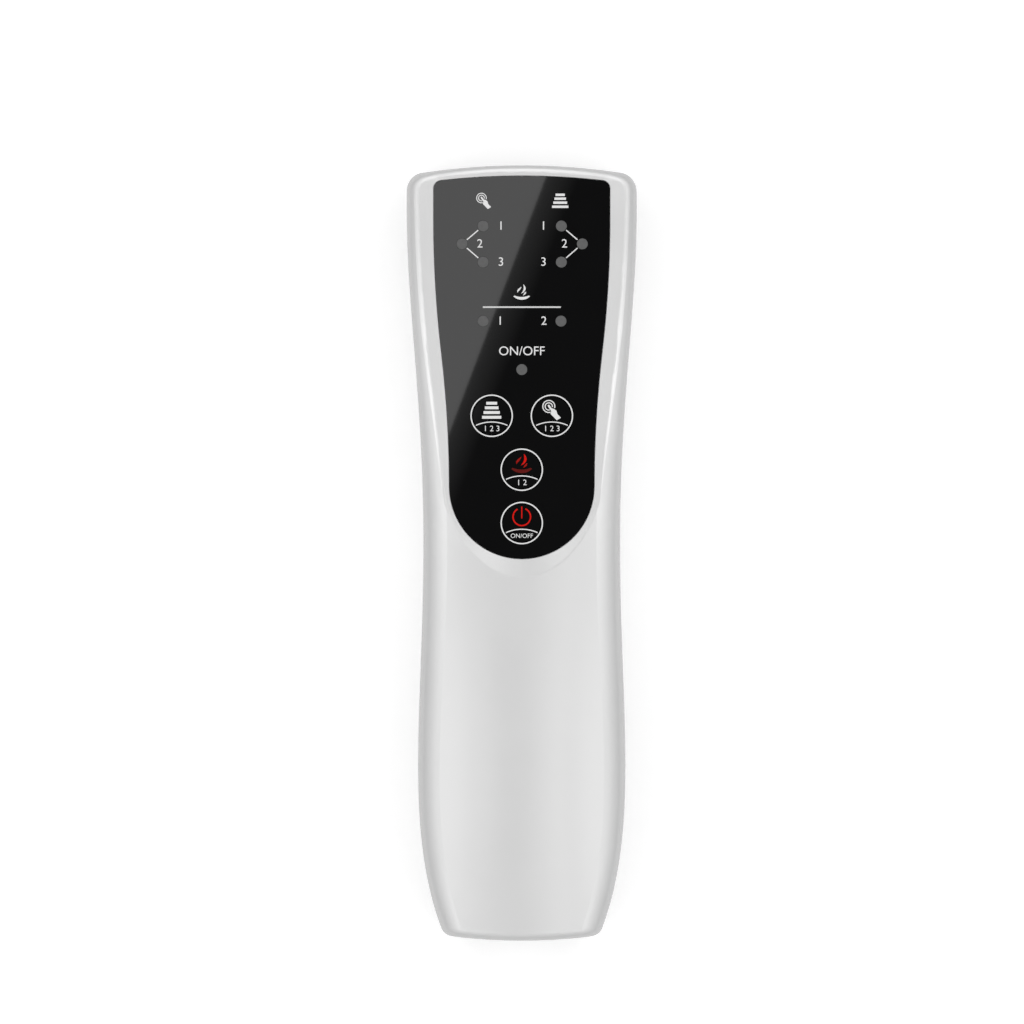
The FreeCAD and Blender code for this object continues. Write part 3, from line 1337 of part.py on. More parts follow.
def route(points):
    """Straight runs joined by tangent arcs that take up most of the shorter run at each bend."""
    stops = [Vector(*(float(value) for value in point)) for point in points]
    edges, here = [], stops[0]
    for before, corner, after in zip(stops, stops[1:], stops[2:]):
        back, ahead = before - corner, after - corner
        turn = math.pi - back.getAngle(ahead)
        reach = BEND_SHARE * min(back.Length, ahead.Length)
        radius = reach / math.tan(turn / 2)
        back.normalize()
        ahead.normalize()
        start, end = corner + back * reach, corner + ahead * reach
        towards = (back + ahead).normalize()
        middle = corner + towards * (math.hypot(radius, reach) - radius)
        edges.append(Part.LineSegment(here, start).toShape())
        edges.append(Part.Arc(start, middle, end).toShape())
        here = end
    edges.append(Part.LineSegment(here, stops[-1]).toShape())
    return Part.Wire(edges)


def swept(name, path, radius):
    first = path.Edges[0]
    start = first.valueAt(first.FirstParameter)
    circle = Part.Wire(Part.makeCircle(float(radius), start, first.tangentAt(first.FirstParameter)))
    solid = path.makePipeShell([circle], True, False)
    report_tube(name, solid, math.pi * float(radius) ** 2 * path.Length)
    return solid


def feature(name, shape):
    obj = doc.addObject("Part::Feature", name)
    obj.Shape = shape
    return obj


def air_path():
    """Manifold and soft tubes that take the pump's air to the valves and on to the two ports."""
    z, half = (d.manifold_bottom + d.manifold_top) / 2, (d.manifold_top - d.manifold_bottom) / 2
    block = rounded("manifold_block", d.manifold_half, half, d.block_corner,
                    MANIFOLD_FACE, MANIFOLD_BACK, z=z)
    wall, tip, deep = d.bobbin_wall, MANIFOLD_FACE - d.nipple_length, d.nipple_length + 3 * d.bobbin_wall
    body = [block, cylinder("manifold_inlet", d.nipple_radius, NIPPLE_REACH, 0, tip, d.pump_z, "y")]
    across, along = d.feed_x + wall, (MANIFOLD_FACE + 2 * wall, MANIFOLD_BACK - 2 * wall)
    tools = [
        slab("manifold_room", (-across, across), along, (d.valve_z - 2 * wall, d.pump_z + wall)),
        cylinder("manifold_inlet_bore", d.nipple_bore, deep, 0, tip, d.pump_z, "y"),
    ]
    low, high = HEAD_FACE + d.tube_end_gap, MANIFOLD_FACE - d.tube_end_gap
    tubes = [ring("pump_tube", TUBE_BORE, d.tube_radius, low, high, z=d.pump_z)]
    for side, name in ((-1, "left"), (1, "right")):
        x, up, start = side * d.feed_x, d.valve_z, MANIFOLD_BACK - d.bite
        body.append(cylinder(f"{name}_manifold_nipple", d.nipple_radius, NIPPLE_REACH, x, start, up, "y"))
        start = MANIFOLD_BACK - 3 * wall
        tools.append(cylinder(f"{name}_manifold_bore", d.nipple_bore, FAR, x, start, up, "y"))
        low, high = MANIFOLD_BACK + d.tube_end_gap, NOSE_FACE - d.tube_end_gap
        tubes.append(ring(f"{name}_feed_tube", TUBE_BORE, d.tube_radius, low, high, x=x, z=d.valve_z))
        out, port = side * d.outlet_x, side * d.port_x
        path = route((
            (out, NOSE_FACE - d.tube_end_gap, d.outlet_z), (out, MOTOR_TAIL + d.cushion_inset, d.outlet_z),
            (port, BLOCK_BACK + 2 * d.nipple_length, d.port_z), (port, BLOCK_BACK + d.tube_end_gap, d.port_z),
        ))
        outside = swept(f"{name} port tube", path, d.tube_radius)
        inside = swept(f"{name} port tube bore", path, TUBE_BORE)
        tubes.append(feature(f"{name}_port_tube", outside.cut(inside)))
    piece(cut("manifold_bored", fuse("manifold_solid", body), tools), "air_manifold")
    piece(group("tube_set", tubes), "air_tubes")


def ports():
    """Block at the foot end with the two hose sockets, and the heater contacts beside them."""
    z = d.port_z
    face = FOOT + d.port_recess
    body = [rounded("port_block_blank", d.block_half, d.block_half_height, d.block_corner,
                    INNER_FOOT, BLOCK_BACK, z=z)]
    tools, sleeves = [], []
    collar, seat = INNER_FOOT - face + d.bite, d.contact_radius + d.press_gap
    for side in (-1, 1):
        x = side * d.port_x
        body.append(cylinder(f"port_collar_{side + 1}", d.port_collar, collar, x, face, z, "y"))
        start = BLOCK_BACK - d.bite
        body.append(cylinder(f"port_nipple_{side + 1}", d.nipple_radius, NIPPLE_REACH, x, start, z, "y"))
        deep = d.port_depth + d.bite
        tools.append(cylinder(f"port_bore_{side + 1}", d.port_radius, deep, x, face - d.bite, z, "y"))
        tools.append(cylinder(f"port_passage_{side + 1}", d.nipple_bore, FAR, x, face, z, "y"))
        x = side * d.contact_x
        tools.append(cylinder(f"contact_seat_{side + 1}", seat, FAR, x, INNER_FOOT - d.bite, z, "y"))
        floor = face + d.port_depth
        sleeves.append(turned(f"contact_{side + 1}", (
            (d.contact_bore, face), (d.contact_radius, face), (d.contact_radius, CONTACT_TAIL),
            (0.0, CONTACT_TAIL), (0.0, floor), (d.contact_bore, floor),
        ), x=x, z=z))
    piece(cut("port_block_bored", fuse("port_block_solid", body), tools), "port_block")
    piece(group("contact_set", sleeves), "heater_contacts")


def power_jack():
    """Barrel socket for the mains adaptor, with its centre pin."""
    z, half, face = d.jack_z, d.jack_half, FOOT + d.port_recess
    box = slab("jack_box", (-half, half), (INNER_FOOT, JACK_BACK), (z - half, z + half))
    collar = cylinder("jack_collar_rod", d.jack_collar, INNER_FOOT - face + d.bite, 0, face, z, "y")
    tools = [
        cylinder("jack_bore_rod", d.jack_bore, d.jack_depth + d.bite, 0, face - d.bite, z, "y"),
        cylinder("jack_pin_hole", d.jack_pin_root + d.press_gap, FAR, 0, face, z, "y"),
    ]
    piece(cut("jack_bored", fuse("jack_solid", [box, collar]), tools), "dc_jack")
    tip, step = face + d.pin_sunk, face + d.jack_depth - d.jack_pin_step
    pin = turned("jack_pin_rod", (
        (0.0, tip), (d.jack_pin, tip), (d.jack_pin, step), (d.jack_pin_root, step),
        (d.jack_pin_root, JACK_TAIL), (0.0, JACK_TAIL),
    ), z=z)
    piece(pin, "dc_jack_pin")


def wiring():
    """Leads between the board and the motor, the power socket, the heater contacts and the valve coils."""
    tail, stub = MOTOR_TAIL - d.terminal_length, d.wire_stub
    turn = tail - stub
    plug_face = HEAD - d.board_margin - d.board_length + d.plug_margin
    plug_z = d.board_top + d.plug_height / 2
    along = (MOTOR_TAIL + d.wire_margin, HEAD_FACE + d.wire_margin)

    def lead(name, start, stub, side, slot, level):
        """A straight stub, the bends past the other leads, up the side of the pump and into the plug."""
        x, y, z = start
        bends = [(across, turn + beyond, d.pump_z + up) for across, beyond, up in LEAD_BENDS[name]]
        plug_x, height = side * (d.plug_x + slot * d.plug_pitch), d.pump_z + level
        return [start, (x, y + stub, z)] + bends + [
            (side * d.wire_x, along[0], height), (side * d.wire_x, along[1], height),
            (plug_x, plug_face - d.plug_stub, plug_z), (plug_x, plug_face, plug_z),
        ]

    jack_tab = (-d.jack_tab_x, JACK_BACK, d.jack_z - d.jack_tab_drop)
    leads = {
        "motor_plus": lead("motor_plus", (d.terminal_x, tail, d.pump_z), -stub, 1, 0, d.wire_lower),
        "motor_minus": lead("motor_minus", (-d.terminal_x, tail, d.pump_z), -stub, 1, -1, d.wire_upper),
        "jack_plus": lead("jack_plus", (0, JACK_TAIL, d.jack_z), stub, -1, -1, d.wire_upper),
        "jack_minus": lead("jack_minus", jack_tab, stub, -1, 0, d.wire_lower),
    }
    for side, name in ((-1, "left"), (1, "right")):
        contact = (side * d.contact_x, CONTACT_TAIL, d.port_z)
        leads[f"{name}_heater"] = lead(f"{name}_heater", contact, stub, side, 1, d.wire_heater)
        x = side * (d.valve_x + d.coil_radius + d.seat_gap)
        out = side * (d.valve_x + d.yoke_half_width + d.coil_lead_gap)
        for index in range(2):
            y = YOKE_TAIL - d.coil_lead_inset - index * d.coil_lead_pitch
            leads[f"{name}_coil_{index}"] = [(x, y, d.valve_z), (out, y, d.valve_z), (out, y, BOARD_UNDER)]
    wires = []
    for name, points in leads.items():
        wires.append(feature(name, swept(f"{name} lead", route(points), d.wire_radius)))
    piece(group("wire_set", wires), "wiring")


front_shell()
rear_shell()
housing_screws()
panel_pieces()
buttons()
switches()
board()
board_components()
motor()
crank()
pump()
solenoid_valves()
air_path()
ports()
power_jack()
wiring()

doc.recompute()
failed = [obj.Name for obj in doc.Objects if "Invalid" in obj.State or "Error" in obj.State]
failed += [obj.Label for obj in pieces if obj.Shape.isNull() or not obj.Shape.isValid()]
if failed:
    raise RuntimeError("not built: " + ", ".join(failed))
os.makedirs("parts", exist_ok=True)
for obj in pieces:
    obj.Shape.exportStep(f"parts/{obj.Label}.step")
    print(obj.Label, len(obj.Shape.Solids), round(obj.Shape.Volume, 1))
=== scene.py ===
import json
import math

import bpy
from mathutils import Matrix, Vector


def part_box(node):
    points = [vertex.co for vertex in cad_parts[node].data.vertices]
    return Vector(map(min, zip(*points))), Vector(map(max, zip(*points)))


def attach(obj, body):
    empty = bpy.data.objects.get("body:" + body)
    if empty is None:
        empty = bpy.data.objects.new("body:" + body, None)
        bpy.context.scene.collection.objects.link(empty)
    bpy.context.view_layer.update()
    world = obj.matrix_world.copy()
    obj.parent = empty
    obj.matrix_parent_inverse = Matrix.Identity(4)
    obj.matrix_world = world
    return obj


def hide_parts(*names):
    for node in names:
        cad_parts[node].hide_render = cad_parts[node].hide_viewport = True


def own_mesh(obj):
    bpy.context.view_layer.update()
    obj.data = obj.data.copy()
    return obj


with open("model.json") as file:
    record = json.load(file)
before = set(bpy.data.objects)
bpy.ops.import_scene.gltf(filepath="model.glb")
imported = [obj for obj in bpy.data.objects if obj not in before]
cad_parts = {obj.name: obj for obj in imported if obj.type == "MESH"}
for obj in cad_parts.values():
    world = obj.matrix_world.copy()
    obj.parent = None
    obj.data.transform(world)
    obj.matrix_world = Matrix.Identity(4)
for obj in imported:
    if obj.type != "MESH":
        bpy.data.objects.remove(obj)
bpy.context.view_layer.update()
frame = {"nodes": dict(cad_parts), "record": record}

MM = 0.001

# Places on the panel, in millimetres: across the centre line and along the handset.
KEYS = {"pressure": (-7.76, 35.4), "mode": (7.76, 35.4), "heat": (0.0, 21.5), "power": (0.0, 7.76)}
MODE_LIGHTS = [(-9.96, 84.3), (-15.4, 79.7), (-9.96, 75.0)]
PRESSURE_LIGHTS = [(10.2, 84.3), (15.6, 79.7), (10.2, 75.0)]
HEAT_LIGHTS = [(-9.96, 59.8), (10.1, 59.8)]
MODE_HEADING = (-9.75, 89.6)
PRESSURE_HEADING = (9.9, 89.6)
HEAT_HEADING = (0.0, 66.0)
HEAT_RULE = (0.0, 63.4)
POWER_HEADING = (0.0, 52.0)

# Printed lines and letters, in millimetres and degrees.
RING_RADIUS = 5.31
RING_WIDTH = 0.32
SILL_WIDTH = 0.27
SILL_RADIUS = 9.8
SILL_DROP = 11.4
SILL_ANGLES = (114.5, 65.5)
LINK_WIDTH = 0.3
LINK_GAP = 1.65
RULE_LENGTH = 20.1
RULE_WIDTH = 0.4
BAR_WIDTH = 0.74
TAP_RING_WIDTH = 0.27
POWER_RING_RADIUS = 2.26
POWER_RING_WIDTH = 0.37
POWER_STROKE_WIDTH = 0.3
POWER_SIGN_RISE = 1.6
KEY_WORDS = {"pressure": ("1 2 3", 1.45), "mode": ("1 2 3", 1.45), "heat": ("1 2", 1.45),
             "power": ("ON/OFF", 1.12)}
KEY_WORDS_DROP = 3.35
NUMBER_HEIGHT = 2.2
NUMBER_ASIDE = 4.6
HEAT_NUMBER_ASIDE = 4.4
HEADING_HEIGHT = 2.3
# Height of a capital letter as a share of the type size.
CAPITAL_SHARE = 0.7
INK_HALF = 0.012
INK_GAP = 0.004

# Camera, in millimetres: straight above, with a long lens, over the middle of the photographed frame.
CAMERA_AT = (-2.52, 10.6)
CAMERA_HEIGHT = 2940.0
CAMERA_REACH = 20000.0
FRAME_WIDTH = 263.9
SENSOR = 36.0

# White floor, and the light of the room for everything but the camera, which sees it white.
FLOOR_REACH = 4000.0
FLOOR_LIFT = 0.36
WORLD_LEVEL = 0.55
# Two long soft lamps that reflections don't see, from one angle to another off the vertical, in degrees.
LAMP_HEIGHT = 1500.0
LAMP_LENGTH = 3000.0
LAMP_ANGLES = (15.0, 45.0)
LAMP_RADIANCE = 0.9
# The wide card overhead, which only reflections see: brightness by the angle off the vertical, in degrees.
SKY_HEIGHT = 2100.0
SKY_LENGTH = 3000.0
SKY_GLOW = 2.20
SKY_STEPS = ((-65.0, 0.38), (-28.0, 0.38), (-21.0, 0.50), (-15.0, 0.84), (-12.0, 0.78), (-9.0, 0.59),
             (-6.0, 0.38), (-2.6, 0.30), (0.6, 0.38), (4.0, 0.53), (7.0, 0.72), (10.0, 0.86), (15.0, 0.88),
             (21.0, 0.50), (28.0, 0.38), (65.0, 0.38))
# Low cards for reflections beside the handset, by the distance from its centre line and by the place along
# it, and past its head end by the place along it.
LOW_HEIGHT = 95.0
SIDE_GLOW = 3.52
SIDE_STEPS = ((24.6, 0.70), (32.0, 0.85), (39.0, 0.94), (45.0, 1.0), (63.0, 0.78), (101.0, 0.68),
              (120.0, 0.68))
SIDE_SWELL = ((-195.0, 0.57), (0.0, 0.58), (20.0, 0.84), (36.0, 1.0), (52.0, 1.0), (68.0, 0.72), (85.0, 0.55),
              (195.0, 0.55))
HEAD_GLOW = 2.64
HEAD_STEPS = ((103.0, 0.8), (130.0, 1.0), (195.0, 1.0))
# Upright cards for reflections round the handset, by the height above the floor.
END_GLOW = 2.00
FENCE_STEPS = ((0.0, 0.20), (28.0, 0.31), (60.0, 0.45), (95.0, 0.59))
# The card that the panel mirrors: how far it covers the panel, and the slanting edge of its bright part.
CARD_HEIGHT = 2000.0
CARD_GROWTH = 1.0 + CARD_HEIGHT / CAMERA_HEIGHT
CARD_GLOW = 1.95
CARD_EDGE_GLOW = 0.4
CARD_FADE = 8.0
CARD_HALF = 28.0
CARD_ENDS = (-8.0, 103.0)
GLINT_ENDS = ((6.3, 97.0), (-19.3, 29.2))


# Materials

COAT_ROUGHNESS = 0.12


def tree_of(material):
    material.use_nodes = True
    return material.node_tree


def fill(tree, socket, value):
    """An input takes a plain value or another node's output."""
    if isinstance(value, bpy.types.NodeSocket):
        tree.links.new(value, socket)
    else:
        socket.default_value = value


def linked(tree, kind, **sockets):
    """A new node with its named inputs filled."""
    node = tree.nodes.new(kind)
    for name, value in sockets.items():
        fill(tree, node.inputs[name.replace("_", " ")], value)
    return node


def worked(tree, kind, operation, *values):
    """A new maths node with its inputs filled in order."""
    node = tree.nodes.new(kind)
    node.operation = operation
    for socket, value in zip(node.inputs, values):
        fill(tree, socket, value)
    return node.outputs


def spread(tree, source, low, high):
    node = linked(tree, "ShaderNodeMapRange", Value=source, To_Min=low, To_Max=high)
    return node.outputs["Result"]


def mixed(tree, factor, first, second):
    node = tree.nodes.new("ShaderNodeMix")
    node.data_type = "RGBA"
    tree.links.new(factor, node.inputs["Factor"])
    colours = [s for s in node.inputs if s.type == "RGBA"]
    colours[0].default_value = (*first, 1.0)
    colours[1].default_value = (*second, 1.0)
    return [s for s in node.outputs if s.type == "RGBA"][0]


def surface(name, colour, rough, metal=0.0, vary=0.06, size=3.0, stretch=(1.0, 1.0, 1.0), relief=0.0,
            coat=0.0, second=None, shine=0.5, ior=1.5):
    """A solid finish whose colour and gloss wander a little; size is the grain in millimetres."""
    material = bpy.data.materials.new(name)
    tree = tree_of(material)
    shader = tree.nodes["Principled BSDF"]
    place = tree.nodes.new("ShaderNodeTexCoord").outputs["Object"]
    scaled = linked(tree, "ShaderNodeMapping", Vector=place, Scale=stretch).outputs["Vector"]
    grain = linked(tree, "ShaderNodeTexNoise", Vector=scaled, Scale=1.0 / (size * MM), Detail=3.0)
    pale = tuple(min(1.0, c * (1.0 + vary)) for c in colour)
    deep = tuple(c * (1.0 - vary) for c in second or colour)
    tree.links.new(mixed(tree, grain.outputs["Fac"], deep, pale), shader.inputs["Base Color"])
    tree.links.new(spread(tree, grain.outputs["Fac"], rough * 0.85, rough * 1.15), shader.inputs["Roughness"])
    shader.inputs["Metallic"].default_value = metal
    shader.inputs["Specular IOR Level"].default_value = shine
    shader.inputs["IOR"].default_value = ior
    shader.inputs["Coat Weight"].default_value = coat
    shader.inputs["Coat Roughness"].default_value = COAT_ROUGHNESS
    if relief:
        bump = linked(tree, "ShaderNodeBump", Height=grain.outputs["Fac"], Distance=relief * MM, Strength=1.0)
        tree.links.new(bump.outputs["Normal"], shader.inputs["Normal"])
    return material


FINISHES = {
    "shell": surface("shell", (0.645, 0.645, 0.645), 0.24, vary=0.012, size=14.0, coat=0.5, shine=1.0,
                     ior=1.7),
    "panel": surface("panel", (0.0058, 0.0058, 0.006), 0.012, vary=0.08, size=8.0),
    "button": surface("button", (0.0058, 0.0058, 0.006), 0.012, vary=0.08, size=5.0),
    "window": surface("window", (0.125, 0.125, 0.125), 0.5, vary=0.15, size=0.8, shine=0.08),
    "tape": surface("tape", (0.05, 0.05, 0.05), 0.9, vary=0.2, size=0.6),
    "steel": surface("steel", (0.55, 0.55, 0.57), 0.32, metal=1.0, vary=0.06, size=0.5),
    "spring_steel": surface("spring_steel", (0.50, 0.50, 0.52), 0.28, metal=1.0, vary=0.08, size=0.4),
    "can": surface("can", (0.50, 0.50, 0.50), 0.36, metal=1.0, vary=0.06, size=0.8, stretch=(1.0, 0.06, 1.0)),
    "magnet": surface("magnet", (0.06, 0.06, 0.06), 0.7, vary=0.25, size=0.4),
    "lamination": surface("lamination", (0.20, 0.20, 0.21), 0.5, metal=1.0, vary=0.2, size=0.6,
                          stretch=(0.04, 1.0, 0.04)),
    "copper": surface("copper", (0.60, 0.25, 0.10), 0.34, metal=1.0, vary=0.12, size=0.4),
    "bronze": surface("bronze", (0.60, 0.42, 0.16), 0.38, metal=1.0, vary=0.12, size=0.4),
    "circuit": surface("circuit", (0.03, 0.16, 0.06), 0.35, vary=0.15, size=1.2, second=(0.022, 0.12, 0.045)),
    "black_plastic": surface("black_plastic", (0.02, 0.02, 0.02), 0.45, vary=0.2, size=0.5, relief=0.01),
    "white_plastic": surface("white_plastic", (0.75, 0.75, 0.72), 0.42, vary=0.03, size=2.0),
    "capacitor": surface("capacitor", (0.10, 0.12, 0.20), 0.35, vary=0.1, size=1.0),
    "led": surface("led", (0.80, 0.80, 0.70), 0.4, vary=0.05, size=0.5),
    "rubber": surface("rubber", (0.04, 0.04, 0.04), 0.75, vary=0.2, size=0.5, relief=0.01),
    "tube": surface("tube", (0.70, 0.70, 0.68), 0.35, vary=0.05, size=1.5),
    "wire": surface("wire", (0.45, 0.03, 0.03), 0.45, vary=0.1, size=0.6),
}
INK_COLOURS = {
    "white_ink": (0.88, 0.88, 0.88),
    "grey_ink": (0.74, 0.74, 0.74),
    "red_ink": (0.70, 0.008, 0.004),
    "deep_red_ink": (0.34, 0.007, 0.004),
    "dark_red_ink": (0.125, 0.008, 0.006),
}
INKS = {}
for name, colour in INK_COLOURS.items():
    INKS[name] = surface(name, colour, 0.5, vary=0.03, size=0.4, shine=0.03)

for part in frame["record"]["subparts"]:
    node = frame["nodes"][part["node"]]
    node.data.materials.clear()
    node.data.materials.append(FINISHES[part["material_slot"]])


# Printed lines and signs: thin flat solids on the panel and on the key caps

def disc(x, y, radius, count=72):
    turn = 2.0 * math.pi / count
    return [(x + radius * math.cos(i * turn), y + radius * math.sin(i * turn)) for i in range(count)]


def ring(x, y, radius, width):
    return [disc(x, y, radius + width / 2), disc(x, y, radius - width / 2)]


def arc_points(x, y, radius, start, end, count=40):
    """Points round a centre, from one angle to another in degrees."""
    angles = [math.radians(start + (end - start) * i / count) for i in range(count + 1)]
    return [(x + radius * math.cos(a), y + radius * math.sin(a)) for a in angles]


def stroke(points, width, taper=False):
    """The outline of a line of a given width; a tapered one runs to a blunt point at both ends."""
    line = [Vector(p) for p in points]
    last = len(line) - 1
    left, right = [], []
    for i, point in enumerate(line):
        along = (line[min(i + 1, last)] - line[max(i - 1, 0)]).normalized()
        share = math.sin(math.pi * (i + 0.15) / (last + 0.3)) if taper else 1.0
        aside = Vector((-along.y, along.x)) * (share * width / 2)
        left.append(tuple(point + aside))
        right.append(tuple(point - aside))
    return left + right[::-1]


def bar(x, y, length, height):
    return stroke([(x - length / 2, y), (x + length / 2, y)], height)


def curve_through(points, steps=8):
    """A smooth line through a few points."""
    knots = [Vector(p) for p in points]
    knots = [2 * knots[0] - knots[1]] + knots + [2 * knots[-1] - knots[-2]]
    found = []
    for a, b, c, d in zip(knots, knots[1:], knots[2:], knots[3:]):
        for i in range(steps):
            t = i / steps
            found.append(0.5 * (2 * b + (c - a) * t + (2 * a - 5 * b + 4 * c - d) * t * t
                                + (3 * b - a - 3 * c + d) * t ** 3))
    return [tuple(p) for p in found + [knots[-2]]]


def lay(thing, body, node, ink):
    """A printed piece goes on the top of a CAD node and moves with its body."""
    bpy.context.scene.collection.objects.link(thing)
    thing.location.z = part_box(node)[1].z + (INK_HALF + INK_GAP) * MM
    thing.data.materials.append(INKS[ink])
    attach(thing, body)


def printed(name, loops, body, node, ink):
    """One printed sign: flat loops filled, nested loops left open."""
    sign = bpy.data.curves.new(name, "CURVE")
    sign.dimensions = "2D"
    sign.fill_mode = "BOTH"
    sign.extrude = INK_HALF * MM
    for loop in loops:
        line = sign.splines.new("POLY")
        line.points.add(len(loop) - 1)
        for point, (x, y) in zip(line.points, loop):
            point.co = (x * MM, y * MM, 0.0, 1.0)
        line.use_cyclic_u = True
    lay(bpy.data.objects.new(name, sign), body, node, ink)


def lettered(name, text, x, y, height, body, node, ink):
    """Plain numbers or ON and OFF in the built-in typeface, centred on a place."""
    sign = bpy.data.curves.new(name, "FONT")
    sign.body = text
    sign.align_x = "CENTER"
    sign.align_y = "CENTER"
    sign.size = height / CAPITAL_SHARE * MM
    sign.extrude = INK_HALF * MM
    thing = bpy.data.objects.new(name, sign)
    thing.location = (x * MM, y * MM, 0.0)
    lay(thing, body, node, ink)


def placed(points, x, y, scale):
    return [(x + px * scale, y + py * scale) for px, py in points]


def bars_sign(x, y, scale=1.0):
    """Four level bars, the longest at the bottom."""
    rows = [(3.23, 2.8), (2.05, 3.5), (0.84, 4.2), (-0.39, 4.95)]
    return [bar(x, y + rise * scale, length * scale, BAR_WIDTH * scale) for rise, length in rows]


def tap_sign(x, y, scale=1.0):
    """A finger tapping inside two open rings."""
    x, y = x - 0.8 * scale, y + 2.4 * scale
    finger = [(-0.29, 0.26), (-0.1, 0.45), (0.16, 0.4), (0.74, -0.45), (1.39, -0.65), (1.97, -1.1),
              (2.2, -1.94), (3.14, -2.91), (2.04, -3.56), (1.13, -2.59), (0.58, -2.07), (0.36, -1.52),
              (0.66, -1.2), (-0.16, -0.13)]
    rings = [(1.55, -15, 292), (0.93, -10, 285)]
    signs = [stroke(arc_points(x, y, radius * scale, start, end), TAP_RING_WIDTH * scale)
             for radius, start, end in rings]
    return signs + [placed(finger, x, y, scale)]


FLAMES = {
    "left": ([(-1.37, 1.4), (-1.2, 2.05), (-0.62, 2.7), (-0.1, 3.35)], 0.55),
    "middle": ([(-0.2, 1.1), (0.5, 1.75), (0.92, 2.6), (0.82, 3.4), (0.5, 4.1)], 0.64),
    "right": ([(0.35, 0.5), (0.85, 0.95), (1.15, 1.35), (1.42, 1.75)], 0.5),
}


def flame_sign(name, x, y, scale=1.0):
    """One rising tongue of heat."""
    points, width = FLAMES[name]
    return [stroke(curve_through(placed(points, x, y, scale)), width * scale, taper=True)]


def bowl_sign(x, y, scale=1.0):
    """The crescent below the rising heat."""
    under = [(-2.75, 0.2), (-1.5, -0.58), (0.0, -0.87), (1.5, -0.58), (2.68, 0.2)]
    over = [(2.28, 0.48), (1.2, 0.14), (0.0, 0.04), (-1.2, 0.14), (-2.35, 0.48)]
    return [curve_through(placed(under, x, y, scale)) + curve_through(placed(over, x, y, scale))]


def power_sign(x, y):
    """The standard on-off sign."""
    circle = stroke(arc_points(x, y, POWER_RING_RADIUS, 119, 426), POWER_RING_WIDTH)
    return [circle, stroke([(x, y + 2.65), (x, y - 0.42)], POWER_STROKE_WIDTH)]


def sill(x, y):
    """The bowed line across the lower part of a key."""
    return [stroke(arc_points(x, y - SILL_DROP, SILL_RADIUS, *SILL_ANGLES), SILL_WIDTH)]


# Keys

for key, (x, y) in KEYS.items():
    printed(f"{key}_ring", ring(x, y, RING_RADIUS, RING_WIDTH), "housing", "panel", "white_ink")
    printed(f"{key}_sill", sill(x, y), f"{key}_key", f"{key}_button", "white_ink")

printed("pressure_sign", bars_sign(*KEYS["pressure"]), "pressure_key", "pressure_button", "white_ink")
printed("mode_sign", tap_sign(*KEYS["mode"]), "mode_key", "mode_button", "white_ink")
for name in FLAMES:
    ink = "red_ink" if name == "middle" else "deep_red_ink"
    printed(f"heat_flame_{name}", flame_sign(name, *KEYS["heat"]), "heat_key", "heat_button", ink)
printed("heat_bowl", bowl_sign(*KEYS["heat"]), "heat_key", "heat_button", "dark_red_ink")
x, y = KEYS["power"]
printed("power_sign", power_sign(x, y + POWER_SIGN_RISE), "power_key", "power_button", "red_ink")
for key, (words, height) in KEY_WORDS.items():
    x, y = KEYS[key]
    lettered(f"{key}_words", words, x, y - KEY_WORDS_DROP, height, f"{key}_key", f"{key}_button", "white_ink")


# Panel: lines and numbers at the light windows, and the headings

for name, lights, side in (("mode", MODE_LIGHTS, 1), ("pressure", PRESSURE_LIGHTS, -1)):
    for i in (0, 1):
        first, second = Vector(lights[i]), Vector(lights[i + 1])
        along = (second - first).normalized()
        ends = [tuple(first + along * LINK_GAP), tuple(second - along * LINK_GAP)]
        printed(f"{name}_link_{i + 1}", [stroke(ends, LINK_WIDTH)], "housing", "panel", "white_ink")
    for i, (x, y) in enumerate(lights, 1):
        beside = x + side * NUMBER_ASIDE
        lettered(f"{name}_number_{i}", str(i), beside, y, NUMBER_HEIGHT, "housing", "panel", "white_ink")

printed("mode_heading", tap_sign(*MODE_HEADING, 0.8), "housing", "panel", "white_ink")
printed("pressure_heading", bars_sign(*PRESSURE_HEADING, 0.85), "housing", "panel", "white_ink")
for name in FLAMES:
    printed(f"heat_heading_{name}", flame_sign(name, *HEAT_HEADING, 0.8), "housing", "panel", "white_ink")
printed("heat_heading_bowl", bowl_sign(*HEAT_HEADING, 0.8), "housing", "panel", "white_ink")
printed("heat_rule", [bar(*HEAT_RULE, RULE_LENGTH, RULE_WIDTH)], "housing", "panel", "grey_ink")
for i, (x, y) in enumerate(HEAT_LIGHTS, 1):
    beside = x + (HEAT_NUMBER_ASIDE if x < 0 else -HEAT_NUMBER_ASIDE)
    lettered(f"heat_number_{i}", str(i), beside, y, NUMBER_HEIGHT, "housing", "panel", "white_ink")
lettered("power_heading", "ON/OFF", *POWER_HEADING, HEADING_HEIGHT, "housing", "panel", "white_ink")


# Valve springs: each is drawn as its own copy of the CAD spring, fixed to the housing, with the CAD node
# hidden

for side in ("left", "right"):
    node = f"{side}_valve_spring"
    coil = bpy.data.objects.new(f"{side}_coil", frame["nodes"][node].data.copy())
    bpy.context.scene.collection.objects.link(coil)
    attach(coil, "housing")
    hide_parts(node)
    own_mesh(coil)


# Stage: the floor and the cards that only reflections see

def plane(name, corners, material):
    mesh = bpy.data.meshes.new(name)
    mesh.from_pydata(corners, [], [tuple(range(len(corners)))])
    thing = bpy.data.objects.new(name, mesh)
    thing.data.materials.append(material)
    bpy.context.scene.collection.objects.link(thing)
    return thing


